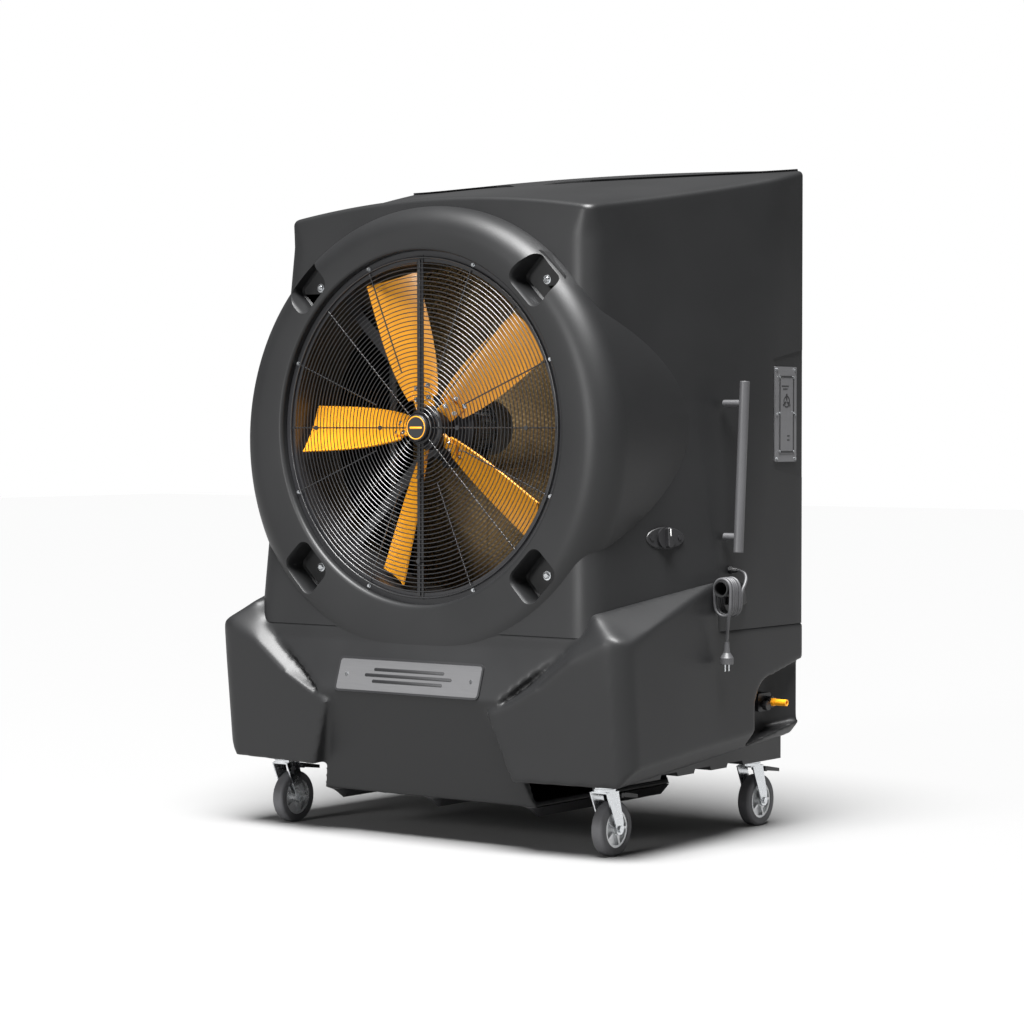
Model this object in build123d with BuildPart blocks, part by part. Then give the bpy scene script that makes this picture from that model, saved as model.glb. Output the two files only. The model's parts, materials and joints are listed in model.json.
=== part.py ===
from build123d import *
import math
import os

os.makedirs("parts", exist_ok=True)

# ---------------------------------------------------------------------------
# Driving dimensions, in millimetres.
# The front of the cooler faces -Y, +X is the service side with the switch, cord
# and water inlet, and the wheels stand on Z = 0.
# ---------------------------------------------------------------------------
HALF_W = 722.0          # half width of the cabinet
REAR_Y = 445.0          # flat back of the cabinet
WALL = 8.0              # moulded wall of the cabinet and tank
SEAM_Z = 600.0          # joint between the tank and the upper housing
FAN_Z = 1165.0          # height of the fan axis

SHROUD_R = 662.0        # outer radius of the domed fan shroud
SHROUD_Z = 1124.0       # its centre sits a little below the fan axis
SHROUD_FRONT_Y = -456.0
SHROUD_ROUND = 85.0
MOUTH_R = 496.0         # round mouth in the shroud

DUCT_R = 463.0          # bore of the fan duct
DUCT_FRONT_Y = -428.0
DUCT_REAR_Y = -240.0

WIRE_R = 1.4            # guard ring wire
WIRE_SIDES = 8
GUARD_Y = -437.0
GUARD_RIM_R = 476.0
RING_COUNT = 35
RING_FIRST_R = 44.0
RING_PITCH = 12.2

FAN_Y = -382.0          # middle plane of the blades
BLADE_TIP_R = 452.0
BLADE_COUNT = 5
BLADE_START = 36.4      # angle of the first blade, counter-clockwise seen from the front
BLADE_PITCH = 32.0
HUB_R = 62.0
SHAFT_R = 14.0

MOTOR_R = 72.5
MOTOR_FRONT_Y = -300.0
MOTOR_REAR_Y = -100.0

WHEEL_R = 75.0
TYRE_W = 38.0
TRACK_X = 572.0         # casters stand this far each side of the middle
FRONT_SWIVEL_Y = -351.0
REAR_SWIVEL_Y = 395.0
TRAIL = 35.0            # the axle trails the swivel by this much
CASTER_TOP_Z = 202.0

HANDLE_X = 764.5
HANDLE_R = 14.0

CORD_R = 4.5
COIL_X = 755.5
COIL_Z = 698.0
COIL_TALL = 104.0       # centre line of one turn, top to bottom
COIL_DEEP = 56.0        # centre line of one turn, front to back of its slot
COIL_Y0 = -52.0
COIL_Y1 = 12.0
GLAND_Y = 49.0          # the cord leaves the side wall here
GLAND_Z = 769.0
DRAIN = (180.0, 200.0)
INLET_Y = 325.0         # hose connection in the cut-back rear corner
INLET_Z = 377.0


def along(x, z, y):
    """A plane that faces the front, placed at x, z, at depth y."""
    return Plane(origin=(x, y, z), x_dir=(1, 0, 0), z_dir=(0, -1, 0))


def side_plane(x):
    """A plane that faces +X, with its own axes along +Y and +Z."""
    return Plane(origin=(x, 0, 0), x_dir=(0, 1, 0), z_dir=(1, 0, 0))


def finish(builder, label):
    """Name a finished sub-part and write it as its own STEP file."""
    builder.part.label = label
    export_step(builder.part, f"parts/{label}.step")


# ---------------------------------------------------------------------------
# Cabinet outline: plan sections of the upper housing
# ---------------------------------------------------------------------------
def front_y(z):
    """The front wall leans back as it rises."""
    return -447.6 + 0.0729 * (z - 652)


def corner_x(z):
    """Half width of the flat front wall, narrower towards the roof."""
    return 592 - 0.0539 * (min(z, 1800) - 652)


def crease(z):
    """The hollow line of the side scoop, swept forward above mid height."""
    height = min(max(z, 723), 1800)
    x = 722 - 0.1186 * (height - 723)
    y = -8 - 0.0678 * (height - 723)
    rise = max(height - 1313, 0) / 446
    return x - 51 * rise**2, y - 215 * rise**2


def flare_y(z):
    """Where the flare meets the flat rear part of the side wall."""
    return 170 + 0.155 * (z - 898)


def plan_points(z, corner=42.0):
    """Right half of the plan outline at height z, from the front to the back."""
    kx, ky = crease(z)
    return [
        (corner_x(z) - corner, front_y(z)),
        (corner_x(z) - corner * 0.25, front_y(z) + corner * 0.3),
        (corner_x(z), front_y(z) + corner),
        (kx, ky),
        (HALF_W, flare_y(z)),
        (HALF_W, REAR_Y),
    ]


def plan_outline(z):
    right = plan_points(z)
    left = [(-x, y) for x, y in reversed(right)]
    return right + left


def roof_profile(y, middle_z, edge_z, drop=0.0):
    """Closed outline under the crowned roof, drawn in the plane Y = y."""
    reach = 760.0
    with BuildSketch(along(0, 0, y)) as sketch:
        with BuildLine():
            arc = ThreePointArc((-reach, edge_z - drop), (0, middle_z - drop), (reach, edge_z - drop))
            Polyline(arc @ 1, (reach, 300), (-reach, 300), arc @ 0)
        make_face()
    return sketch.sketch


HOUSING_LEVELS = [SEAM_Z, 723, 1018, 1313, 1425, 1536, 1648, 1759, 1800, 1960]


def plan_sketch(z, inset):
    """The plan outline at height z, set in by a wall thickness."""
    with BuildSketch(Plane.XY.offset(z)) as sketch:
        with BuildLine():
            Polyline(*plan_outline(z), close=True)
        make_face()
        if inset > 0:
            offset(amount=-inset, kind=Kind.INTERSECTION, mode=Mode.REPLACE)
    return sketch.sketch


def housing_block(inset, floor_z):
    """The solid inside the cabinet outline, set in by a wall thickness, under the roof."""
    levels = [max(level, floor_z) for level in HOUSING_LEVELS]
    with BuildPart() as block:
        for low, high in zip(levels, levels[1:]):
            loft([plan_sketch(low, inset), plan_sketch(high, inset)], ruled=True)
    with BuildPart() as roof:
        loft([roof_profile(-530, 1788, 1684, inset), roof_profile(470, 1931, 1912, inset)], ruled=True)
    return block.part & roof.part


# ---------------------------------------------------------------------------
# Upper housing: one hollow moulding with the domed shroud in its front wall
# ---------------------------------------------------------------------------
POCKET_R = 571.0
SHROUD_REAR_Y = -66.0
PANEL_Y = 343.5         # middle of the name and wiring cover on the side
PANEL_Z = 1204.0
SWITCH = (650.3, -182.0, 863.0)

housing_outer = housing_block(0, SEAM_Z)
housing_inner = housing_block(WALL, SEAM_Z)

with BuildPart() as shroud_outer:
    with BuildSketch(along(0, SHROUD_Z, SHROUD_FRONT_Y)):
        Circle(SHROUD_R)
    extrude(amount=-(SHROUD_REAR_Y - SHROUD_FRONT_Y))
    fillet(shroud_outer.edges().group_by(Axis.Y)[0], SHROUD_ROUND)

with BuildPart() as shroud_inner:
    with BuildSketch(along(0, SHROUD_Z, SHROUD_FRONT_Y + WALL)):
        Circle(SHROUD_R - WALL)
    extrude(amount=-(SHROUD_REAR_Y - SHROUD_FRONT_Y))
    fillet(shroud_inner.edges().group_by(Axis.Y)[0], SHROUD_ROUND - WALL)

with BuildPart() as pocket_cups:
    for angle in (45, 135, 225, 315):
        centre = Vector(POCKET_R, 0).rotate(Axis.Z, angle)
        with BuildSketch(along(centre.X, FAN_Z + centre.Y, -470)):
            with Locations(Rot(0, 0, angle)):
                RectangleRounded(122, 142, 26)
        extrude(amount=-96)
    add(shroud_outer.part, mode=Mode.INTERSECT)

with BuildPart() as upper_housing:
    add(housing_outer)
    add(shroud_outer.part)
    split(bisect_by=Plane.XY.offset(SEAM_Z), keep=Keep.TOP)
    for y, z, face in ((50, 1243, 700), (20, 848, 718)):
        with BuildSketch(side_plane(640)):
            with Locations((y, z)):
                RectangleRounded(79, 105, 14)
        handle_pad = extrude(amount=face - 640)
        mirror(handle_pad, about=Plane.YZ)
    add(housing_inner, mode=Mode.SUBTRACT)
    add(shroud_inner.part, mode=Mode.SUBTRACT)
    add(pocket_cups.part)
    for angle in (45, 135, 225, 315):
        centre = Vector(POCKET_R, 0).rotate(Axis.Z, angle)
        with BuildSketch(along(centre.X, FAN_Z + centre.Y, -480)):
            with Locations(Rot(0, 0, angle)):
                RectangleRounded(106, 126, 20)
        extrude(amount=-98, mode=Mode.SUBTRACT)
    with BuildSketch(along(0, FAN_Z, -520)):
        Circle(MOUTH_R)
    extrude(amount=-300, mode=Mode.SUBTRACT)
    with BuildSketch(along(0, 1200, 400)):
        RectangleRounded(1180, 1080, 20)
    extrude(amount=-100, mode=Mode.SUBTRACT)
    with BuildSketch(side_plane(HALF_W - 4)):
        with BuildLine():
            Polyline((460, 1018), (276, 1050), (276, 1362), (460, 1394), close=True)
        make_face()
    extrude(amount=10, mode=Mode.SUBTRACT)
    with BuildSketch(side_plane(HALF_W - 20)):
        with Locations((GLAND_Y, GLAND_Z)):
            Circle(9)
    extrude(amount=30, mode=Mode.SUBTRACT)
finish(upper_housing, "upper_housing")


# ---------------------------------------------------------------------------
# Water tank: the wide base moulding, with shoulders, front arms and sump
# ---------------------------------------------------------------------------
TANK_TOP_Z = 760.0
TANK_CAVITY_Y = -412.0   # front of the water space, clear of the arms and rounded corners
ARM_FRONT = [(760, 611), (699, 590), (564, 544), (450, 461), (284, 386)]
ARM_BACK = [(760, 735), (592, 652), (569, 609), (402, 480), (284, 391)]


def through(p, q, r):
    """A plane through three points."""
    a, b, c = Vector(p), Vector(q), Vector(r)
    return Plane(origin=a, z_dir=(b - a).cross(c - a))


def mirrored_outline(points, top_z):
    """A closed outline from a right-hand line, its mirror image and a flat top."""
    left = [(-x, z) for x, z in reversed(points)]
    reach = points[0][0]
    return [(reach, top_z)] + points + left + [(-reach, top_z)]


RECESS_X = 644.0         # floor of the cut-back corner
RECESS_REAR_X = 706.0    # where that floor comes out to at the rear edge


def recess_block(grow):
    """The cut-back corner around the hose connection, with a floor that rises to the rear."""
    with BuildPart() as block:
        with BuildSketch(side_plane(600)):
            with BuildLine():
                bend = ThreePointArc((185 - grow, 375), (205 - grow, 425 + grow), (275, 458 + grow))
                Polyline(bend @ 1, (REAR_Y, 498 + grow), (REAR_Y, 318 - grow), (185 - grow, 262 - grow), bend @ 0)
            make_face()
        extrude(amount=160)
        with BuildSketch(Plane.XY.offset(200)):
            Polygon((RECESS_X - grow, 100), (RECESS_X - grow, 352), (RECESS_REAR_X - grow, REAR_Y),
                    (RECESS_REAR_X - grow, 480), (770, 480), (770, 100), align=None)
        extrude(amount=340, mode=Mode.INTERSECT)
    return block.part


with BuildPart() as arm_cutter:
    with BuildSketch(along(0, 0, -560)):
        Polygon(*mirrored_outline(ARM_FRONT, 900), align=None)
    extrude(amount=-60)
with BuildPart() as arm_slope_cutter:
    with BuildSketch(along(0, 0, -500)):
        Polygon(*mirrored_outline(ARM_FRONT, 900), align=None)
    with BuildSketch(along(0, 0, -447)):
        Polygon(*mirrored_outline(ARM_BACK, 900), align=None)
    loft(ruled=True)
    with BuildSketch(along(0, 0, -447)):
        Polygon(*mirrored_outline(ARM_BACK, 900), align=None)
    extrude(amount=-20)

with BuildPart() as shoulder_cutter:
    with BuildSketch(along(0, 0, -500)):
        Polygon((592, 652), (722, 589), (760, 589), (760, 900), (540, 900), (540, 652), align=None)
    with BuildSketch(along(0, 0, -8)):
        Polygon((719, 742), (722, 649), (760, 649), (760, 900), (670, 900), (670, 742), align=None)
    loft(ruled=True)
    with BuildSketch(along(0, 0, -8)):
        Polygon((760, SEAM_Z), (760, 900), (640, 900), (640, SEAM_Z), align=None)
    extrude(amount=-460)
    mirror(about=Plane.YZ)

with BuildPart() as apron:
    with BuildSketch(along(0, 0, -560)):
        Polygon((562, 600), (402, 480), (284, 388), (379, 124),
                (-379, 124), (-284, 388), (-402, 480), (-562, 600), align=None)
    extrude(amount=-830)
    with BuildSketch(side_plane(-600)):
        Polygon((-451.4, 600), (-454, 564), (-500, 420), (-402, 124), (270, 124), (270, 330),
                (-300, 330), (-300, 600), align=None)
    extrude(amount=1200, mode=Mode.INTERSECT)

with BuildPart() as water_tank:
    with BuildSketch(Plane.XY.offset(150)):
        Polygon((-HALF_W, -540), (HALF_W, -540), (HALF_W, REAR_Y), (-HALF_W, REAR_Y), align=None)
    extrude(amount=TANK_TOP_Z - 150)
    front_right = through((284, -505, 390), (722, -465, 390), (722, -485, 590))
    front_left = through((-284, -505, 390), (-722, -485, 590), (-722, -465, 390))
    split(bisect_by=front_right, keep=Keep.BOTTOM)
    split(bisect_by=front_left, keep=Keep.BOTTOM)
    corner_edges = water_tank.edges().filter_by(lambda e: e.length > 500 and abs(e.center().X) > 700)
    fillet(corner_edges.sort_by(Axis.Y)[0:2], 62)
    split(bisect_by=through((0, -446, 202), (722, -446, 202), (0, 196, 255)), keep=Keep.TOP)
    for side in (1, -1):
        lower = through((side * 722, -385, 257), (side * 722, 196, 306), (side * 682, -385, 207))
        keep_side = Keep.TOP if lower.to_local_coords(Vector(0, 0, 600)).Z > 0 else Keep.BOTTOM
        split(bisect_by=lower, keep=keep_side)
    with BuildSketch(along(0, 0, -600)):
        Polygon((284, 390), (379, 124), (379, 90), (-379, 90), (-379, 124), (-284, 390), align=None)
    extrude(amount=-260, mode=Mode.SUBTRACT)
    add(arm_cutter.part, mode=Mode.SUBTRACT)
    add(arm_slope_cutter.part, mode=Mode.SUBTRACT)
    add(shoulder_cutter.part, mode=Mode.SUBTRACT)
    tank_outer = water_tank.part
    with BuildSketch(side_plane(-714)):
        Polygon((TANK_CAVITY_Y, 330), (437, 330), (437, 582), (TANK_CAVITY_Y, 582), align=None)
    extrude(amount=1428, mode=Mode.SUBTRACT)
    with BuildSketch(side_plane(-664)):
        Polygon((-425, 218), (437, 288), (437, 340), (-425, 340), align=None)
    extrude(amount=1328, mode=Mode.SUBTRACT)
    add(apron.part)
    with BuildSketch(side_plane(-371)):
        Polygon((-392, 132), (262, 132), (262, 345), (-392, 345), align=None)
    extrude(amount=742, mode=Mode.SUBTRACT)
    with BuildSketch(side_plane(-540)):
        Polygon((TANK_CAVITY_Y, 330), (-290, 330), (-290, 582), (TANK_CAVITY_Y, 582), align=None)
    extrude(amount=1080, mode=Mode.SUBTRACT)
    add(housing_outer, mode=Mode.SUBTRACT)
    extrude(plan_sketch(SEAM_Z, WALL), amount=-20, mode=Mode.SUBTRACT)
    add(recess_block(WALL) & tank_outer)
    add(recess_block(0), mode=Mode.SUBTRACT)
    with BuildSketch(Plane.XY.offset(120)):
        with Locations(DRAIN):
            Circle(16)
    extrude(amount=16, mode=Mode.SUBTRACT)
finish(water_tank, "water_tank")


# ---------------------------------------------------------------------------
# Under the tank: caster chassis, skids and drain plug
# ---------------------------------------------------------------------------
with BuildPart() as base_frame:
    for x in (-650, 390):
        with BuildSketch(side_plane(x)):
            Polygon((-385, 202), (440, 202), (440, 274.8), (-385, 206.8), align=None)
        extrude(amount=260)
    with BuildSketch(side_plane(-390)):
        Polygon((300, 202), (440, 202), (440, 274.8), (300, 263.2), align=None)
    extrude(amount=780)
    with BuildSketch(side_plane(-700)):
        for y in (-150, 20, 190):
            with Locations((y, 202)):
                Trapezoid(90, 12, 60, align=(Align.CENTER, Align.MIN))
    extrude(amount=1400, mode=Mode.SUBTRACT)
finish(base_frame, "base_frame")

with BuildPart() as skids:
    for x in (-350, 0, 350):
        with BuildSketch(Plane(origin=(x, -392, 124), x_dir=(1, 0, 0), z_dir=(0, -1, 0))):
            Polygon((-29, 0), (29, 0), (0, -4), align=None)
        with BuildSketch(Plane(origin=(x, -350, 124), x_dir=(1, 0, 0), z_dir=(0, -1, 0))):
            Polygon((-29, 0), (29, 0), (0, -32), align=None)
        with BuildSketch(Plane(origin=(x, 262, 124), x_dir=(1, 0, 0), z_dir=(0, -1, 0))):
            Polygon((-29, 0), (29, 0), (0, -32), align=None)
        loft(ruled=True)
finish(skids, "skids")

with BuildPart() as drain_plug:
    with BuildSketch(Plane.XY.offset(112)):
        with Locations(DRAIN):
            RegularPolygon(21, 6)
    extrude(amount=12)
    with BuildSketch(Plane.XY.offset(124)):
        with Locations(DRAIN):
            Circle(16)
    extrude(amount=8)
finish(drain_plug, "drain_plug")

# ---------------------------------------------------------------------------
# Rear: cellulose cooling pads behind a louvred rear grille
# ---------------------------------------------------------------------------
PAD_COUNT = 4
PAD_WIDTH = 290.0

with BuildPart() as cooling_pads:
    for index in range(PAD_COUNT):
        x = (index - (PAD_COUNT - 1) / 2) * (PAD_WIDTH + 2)
        with BuildSketch(along(x, 1200, 420)):
            RectangleRounded(PAD_WIDTH, 1070, 6)
        extrude(amount=150)
finish(cooling_pads, "cooling_pads")

with BuildPart() as rear_grille:
    with BuildSketch(along(0, 1200, 445)):
        RectangleRounded(1176, 1076, 18)
        RectangleRounded(1116, 1016, 8, mode=Mode.SUBTRACT)
    extrude(amount=24)
    with BuildSketch(side_plane(-570)):
        for index in range(21):
            with Locations((433, 715 + index * 48.5)):
                Rectangle(20, 5, rotation=-35)
    extrude(amount=1140)
    with BuildSketch(along(0, 1200, 438)):
        for x in (-280, 0, 280):
            with Locations((x, 0)):
                Rectangle(8, 1060)
    extrude(amount=14)
finish(rear_grille, "rear_grille")

with BuildPart() as pad_tray:
    with BuildSketch(Plane.XY.offset(640)):
        with Locations((0, 341)):
            RectangleRounded(1190, 156, 8)
    extrude(amount=24)
    with BuildSketch(Plane.XY.offset(644)):
        with Locations((0, 341)):
            RectangleRounded(1182, 148, 5)
    extrude(amount=20, mode=Mode.SUBTRACT)
    with BuildSketch(Plane.XY.offset(640)):
        with GridLocations(290, 0, 4, 1):
            with Locations((0, 345)):
                Circle(16)
    extrude(amount=6, mode=Mode.SUBTRACT)
finish(pad_tray, "pad_tray")

# ---------------------------------------------------------------------------
# Water system: pump, riser, spray bar, float valve
# ---------------------------------------------------------------------------
with BuildPart() as pump:
    with BuildSketch(Plane.XY.offset(132)):
        with Locations((-200, 180)):
            RectangleRounded(130, 100, 18)
    extrude(amount=92)
    fillet(pump.edges().group_by(Axis.Z)[-1], 8)
    with BuildSketch(Plane.XY.offset(224)):
        with Locations((-200, 180)):
            Circle(18)
    extrude(amount=26)
finish(pump, "pump")

with BuildPart() as spray_pipework:
    with BuildLine() as riser_line:
        FilletPolyline((-200, 180, 250), (-200, 180, 420), (-640, 240, 560), (-640, 240, 1755),
                       (-560, 345, 1768), radius=30)
    with BuildSketch(Plane(origin=riser_line.line @ 0, z_dir=riser_line.line % 0)):
        Circle(12)
    sweep(path=riser_line.line)
    with BuildSketch(side_plane(-560)):
        with Locations((345, 1768)):
            Circle(16)
            Circle(13, mode=Mode.SUBTRACT)
    extrude(amount=1120)
    with BuildSketch(side_plane(560)):
        with Locations((345, 1768)):
            Circle(18)
    extrude(amount=6)
    with BuildSketch(Plane.XY.offset(1745)):
        with GridLocations(70, 0, 15, 1):
            with Locations((0, 345)):
                Circle(2)
    extrude(amount=14, mode=Mode.SUBTRACT)
finish(spray_pipework, "spray_pipework")


# ---------------------------------------------------------------------------
# Fan duct and guard
# ---------------------------------------------------------------------------
SPOKE_R = 2.0
SPOKE_Y = GUARD_Y + WIRE_R + SPOKE_R + 0.02
STRAP_Y = SPOKE_Y + 3.02


def fan_ring(outer, inner, front, back):
    """A flat ring about the fan axis, added to the part being built."""
    with BuildSketch(along(0, FAN_Z, front)) as ring:
        Circle(outer)
        Circle(inner, mode=Mode.SUBTRACT)
    extrude(ring.sketch, amount=-(back - front))


with BuildPart() as fan_duct:
    fan_ring(MOUTH_R - 0.4, DUCT_R, DUCT_FRONT_Y, DUCT_FRONT_Y + 4)
    fan_ring(MOUTH_R - 0.4, MOUTH_R - 4, DUCT_FRONT_Y, DUCT_FRONT_Y + 30)
    fan_ring(DUCT_R + 4, DUCT_R, DUCT_FRONT_Y, DUCT_REAR_Y)
    fan_ring(DUCT_R + 22, DUCT_R, DUCT_REAR_Y - 4, DUCT_REAR_Y)
finish(fan_duct, "fan_duct")

with BuildPart() as guard_rings:
    for index in range(RING_COUNT):
        with BuildSketch(Plane.YZ):
            with Locations((GUARD_Y, FAN_Z + RING_FIRST_R + index * RING_PITCH)):
                RegularPolygon(WIRE_R, WIRE_SIDES, rotation=180 / WIRE_SIDES)
        revolve(axis=Axis((0, 0, FAN_Z), (0, 1, 0)))
finish(guard_rings, "guard_rings")

with BuildPart() as guard_spokes:
    for index in range(16):
        start = 42.0 if index % 2 == 0 else 168.0
        angle = math.radians(index * 22.5)
        direction = Vector(math.cos(angle), 0, math.sin(angle))
        foot = Vector(0, SPOKE_Y, FAN_Z) + direction * start
        with BuildSketch(Plane(origin=foot, z_dir=direction)):
            Circle(SPOKE_R)
        extrude(amount=GUARD_RIM_R - 6 - start)
    with Locations(Location((0, SPOKE_Y, FAN_Z), (90, 0, 0))):
        Torus(GUARD_RIM_R, 3)
        Torus(40, 3)
finish(guard_spokes, "guard_spokes")

with BuildPart() as guard_strap:
    with BuildSketch(along(0, FAN_Z, STRAP_Y)):
        Rectangle(22, 2 * GUARD_RIM_R + 12)
    extrude(amount=-2.5)
finish(guard_strap, "guard_strap")

with BuildPart() as guard_clips:
    for x, z in ((-138, 0), (138, 0), (-374, 0), (374, 0), (0, -138), (0, -374)):
        with BuildSketch(along(x, FAN_Z + z, GUARD_Y - WIRE_R - 3)):
            Circle(6.5)
        extrude(amount=-2.9)
finish(guard_clips, "guard_clips")

with BuildPart() as guard_screws:
    for index in range(8):
        angle = math.radians(index * 45 + 22.5)
        x = math.cos(angle) * (GUARD_RIM_R + 9.5)
        z = math.sin(angle) * (GUARD_RIM_R + 9.5)
        with BuildSketch(along(x, FAN_Z + z, DUCT_FRONT_Y - 2)):
            Circle(5.5)
        extrude(amount=-2)
        with BuildSketch(along(x, FAN_Z + z, DUCT_FRONT_Y - 7)):
            Circle(4)
        extrude(amount=-5)
finish(guard_screws, "guard_screws")

with BuildPart() as guard_badge:
    with BuildSketch(along(0, FAN_Z, GUARD_Y - 14)):
        Circle(37)
    extrude(amount=-12)
    fillet(guard_badge.edges().group_by(Axis.Y)[0], 4)
finish(guard_badge, "guard_badge")

# ---------------------------------------------------------------------------
# Fan rotor
# ---------------------------------------------------------------------------
HUB_FRONT_Y = FAN_Y - 32
HUB_REAR_Y = FAN_Y + 30

with BuildPart() as fan_hub:
    with BuildSketch(along(0, FAN_Z, HUB_FRONT_Y)):
        Circle(HUB_R)
    extrude(amount=-(HUB_REAR_Y - HUB_FRONT_Y))
    fillet(fan_hub.edges().group_by(Axis.Y)[0], 14)
    with BuildSketch(along(0, FAN_Z, HUB_FRONT_Y - 4)):
        Circle(SHAFT_R)
    extrude(amount=-100, mode=Mode.SUBTRACT)
finish(fan_hub, "fan_hub")

with BuildPart() as fan_shaft:
    with BuildSketch(along(0, FAN_Z, HUB_FRONT_Y - 5)):
        Circle(SHAFT_R)
    extrude(amount=-(MOTOR_FRONT_Y - 2 - HUB_FRONT_Y + 5))
    chamfer(fan_shaft.edges().group_by(Axis.Y)[0], 2)
finish(fan_shaft, "fan_shaft")


def blade_section(radius, chord, pitch):
    """One blade section: a thin cambered plate at this radius, pitched to the flow."""
    plane = Plane(origin=(radius, 0, 0), x_dir=(0, 1, 0), z_dir=(1, 0, 0)).rotated((pitch, 0, 0))
    with BuildSketch(plane) as sketch:
        with BuildLine():
            upper = ThreePointArc((-2.5, -chord / 2), (5.5, 0), (-2.5, chord / 2))
            lower = ThreePointArc((2.5, chord / 2), (10.5, 0), (2.5, -chord / 2))
            Line(upper @ 1, lower @ 0)
            Line(lower @ 1, upper @ 0)
        make_face()
    return sketch.sketch


with BuildPart() as blade_blank:
    loft([blade_section(HUB_R + 26, 84, 40), blade_section(190, 128, 36),
          blade_section(320, 146, BLADE_PITCH), blade_section(BLADE_TIP_R - 8, 150, 28)])

with BuildPart() as blade_root:
    with BuildSketch(Plane(origin=(HUB_R - 20, 0, 0), x_dir=(0, 1, 0), z_dir=(1, 0, 0)).rotated((40, 0, 0))):
        RectangleRounded(9, 56, 3)
    extrude(amount=70)

with BuildPart() as fan_blades:
    for index in range(BLADE_COUNT):
        turn = -(BLADE_START + index * 360 / BLADE_COUNT)
        with Locations(Location((0, FAN_Y, FAN_Z), (0, turn, 0))):
            add(blade_blank.part)
            add(blade_root.part)
    add(fan_hub.part, mode=Mode.SUBTRACT)
finish(fan_blades, "fan_blades")

# ---------------------------------------------------------------------------
# Motor and its mount inside the duct
# ---------------------------------------------------------------------------
with BuildPart() as motor_body:
    with BuildSketch(along(0, FAN_Z, MOTOR_FRONT_Y)):
        Circle(MOTOR_R - 5)
        for index in range(24):
            with Locations(Rot(0, 0, index * 15) * Pos(MOTOR_R - 3, 0)):
                Rectangle(8, 3)
    extrude(amount=-160)
    with BuildSketch(along(0, FAN_Z, MOTOR_FRONT_Y)):
        Circle(MOTOR_R)
    extrude(amount=-14)
    with BuildSketch(along(0, FAN_Z, MOTOR_FRONT_Y)):
        Circle(SHAFT_R + 1)
    extrude(amount=-4, mode=Mode.SUBTRACT)
finish(motor_body, "motor_body")

with BuildPart() as motor_cowl:
    fan_ring(MOTOR_R + 6, MOTOR_R + 4, MOTOR_FRONT_Y + 130, MOTOR_REAR_Y)
    fan_ring(MOTOR_R + 6, MOTOR_R - 4.9, MOTOR_FRONT_Y + 160, MOTOR_FRONT_Y + 164)
    with BuildSketch(along(0, FAN_Z, MOTOR_REAR_Y - 3)):
        Circle(MOTOR_R + 6)
        with GridLocations(13, 13, 9, 9):
            Circle(4, mode=Mode.SUBTRACT)
    extrude(amount=-3)
finish(motor_cowl, "motor_cowl")

with BuildPart() as motor_terminal_box:
    with BuildSketch(along(0, FAN_Z - MOTOR_R - 20, MOTOR_FRONT_Y + 30)):
        RectangleRounded(96, 44, 6)
    extrude(amount=-92)
    fillet(motor_terminal_box.edges().group_by(Axis.Z)[0], 2)
    add(motor_body.part, mode=Mode.SUBTRACT)
finish(motor_terminal_box, "motor_terminal_box")

with BuildPart() as motor_mount:
    with BuildSketch(along(0, FAN_Z, MOTOR_FRONT_Y - 8)):
        Circle(96)
        Circle(SHAFT_R + 6, mode=Mode.SUBTRACT)
    extrude(amount=-8)
    for angle in (45, 135, 225, 315):
        direction = Vector(math.cos(math.radians(angle)), 0, math.sin(math.radians(angle)))
        foot = Vector(0, MOTOR_FRONT_Y + 8, FAN_Z) + direction * 84
        with BuildSketch(Plane(origin=foot, x_dir=(0, 1, 0), z_dir=direction)):
            Rectangle(32, 34)
            with Locations((3, 0)):
                Rectangle(32, 26, mode=Mode.SUBTRACT)
        extrude(amount=DUCT_R - 3 - 84)
        tip = Vector(0, MOTOR_FRONT_Y + 8, FAN_Z) + direction * (DUCT_R - 4)
        with BuildSketch(Plane(origin=tip, x_dir=(0, 1, 0), z_dir=direction)):
            Rectangle(60, 52)
        extrude(amount=3)
finish(motor_mount, "motor_mount")

# ---------------------------------------------------------------------------
# Nameplate, side cover, handles, switch
# ---------------------------------------------------------------------------
APRON_TILT = math.degrees(math.atan2(46, 144))
NAMEPLATE_PLANE = Plane(origin=(0, -485.1, 468), x_dir=(1, 0, 0),
                        z_dir=Vector(0, -math.cos(math.radians(APRON_TILT)), math.sin(math.radians(APRON_TILT))))

with BuildPart() as nameplate:
    with BuildSketch(NAMEPLATE_PLANE):
        RectangleRounded(505, 92, 9)
    extrude(amount=2.5)
finish(nameplate, "nameplate")

with BuildPart() as cover_plate:
    with BuildSketch(side_plane(HALF_W - 4)):
        with Locations((PANEL_Y, PANEL_Z)):
            RectangleRounded(117, 272, 3)
    extrude(amount=5)
finish(cover_plate, "cover_plate")

with BuildPart() as cover_label:
    with BuildSketch(side_plane(HALF_W + 1)):
        with Locations((PANEL_Y + 2, PANEL_Z)):
            RectangleRounded(84, 226, 5)
    extrude(amount=1.2)
finish(cover_label, "cover_label")

with BuildPart() as panel_screws:
    for y in (PANEL_Y - 50, PANEL_Y + 50):
        for z in (PANEL_Z - 127, PANEL_Z, PANEL_Z + 127):
            with BuildSketch(side_plane(HALF_W + 1)):
                with Locations((y, z)):
                    Circle(4.2)
            extrude(amount=2.2)
    for y in (PANEL_Y - 36, PANEL_Y + 40):
        for z in (PANEL_Z - 106, PANEL_Z + 4, PANEL_Z + 106):
            with BuildSketch(side_plane(HALF_W + 2.2)):
                with Locations((y, z)):
                    Circle(3.4)
            extrude(amount=2)
    for x in (-222, 222):
        with BuildSketch(NAMEPLATE_PLANE.offset(2.5)):
            with Locations((x, 0)):
                Circle(4.5)
        extrude(amount=2)
finish(panel_screws, "panel_screws")

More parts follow.
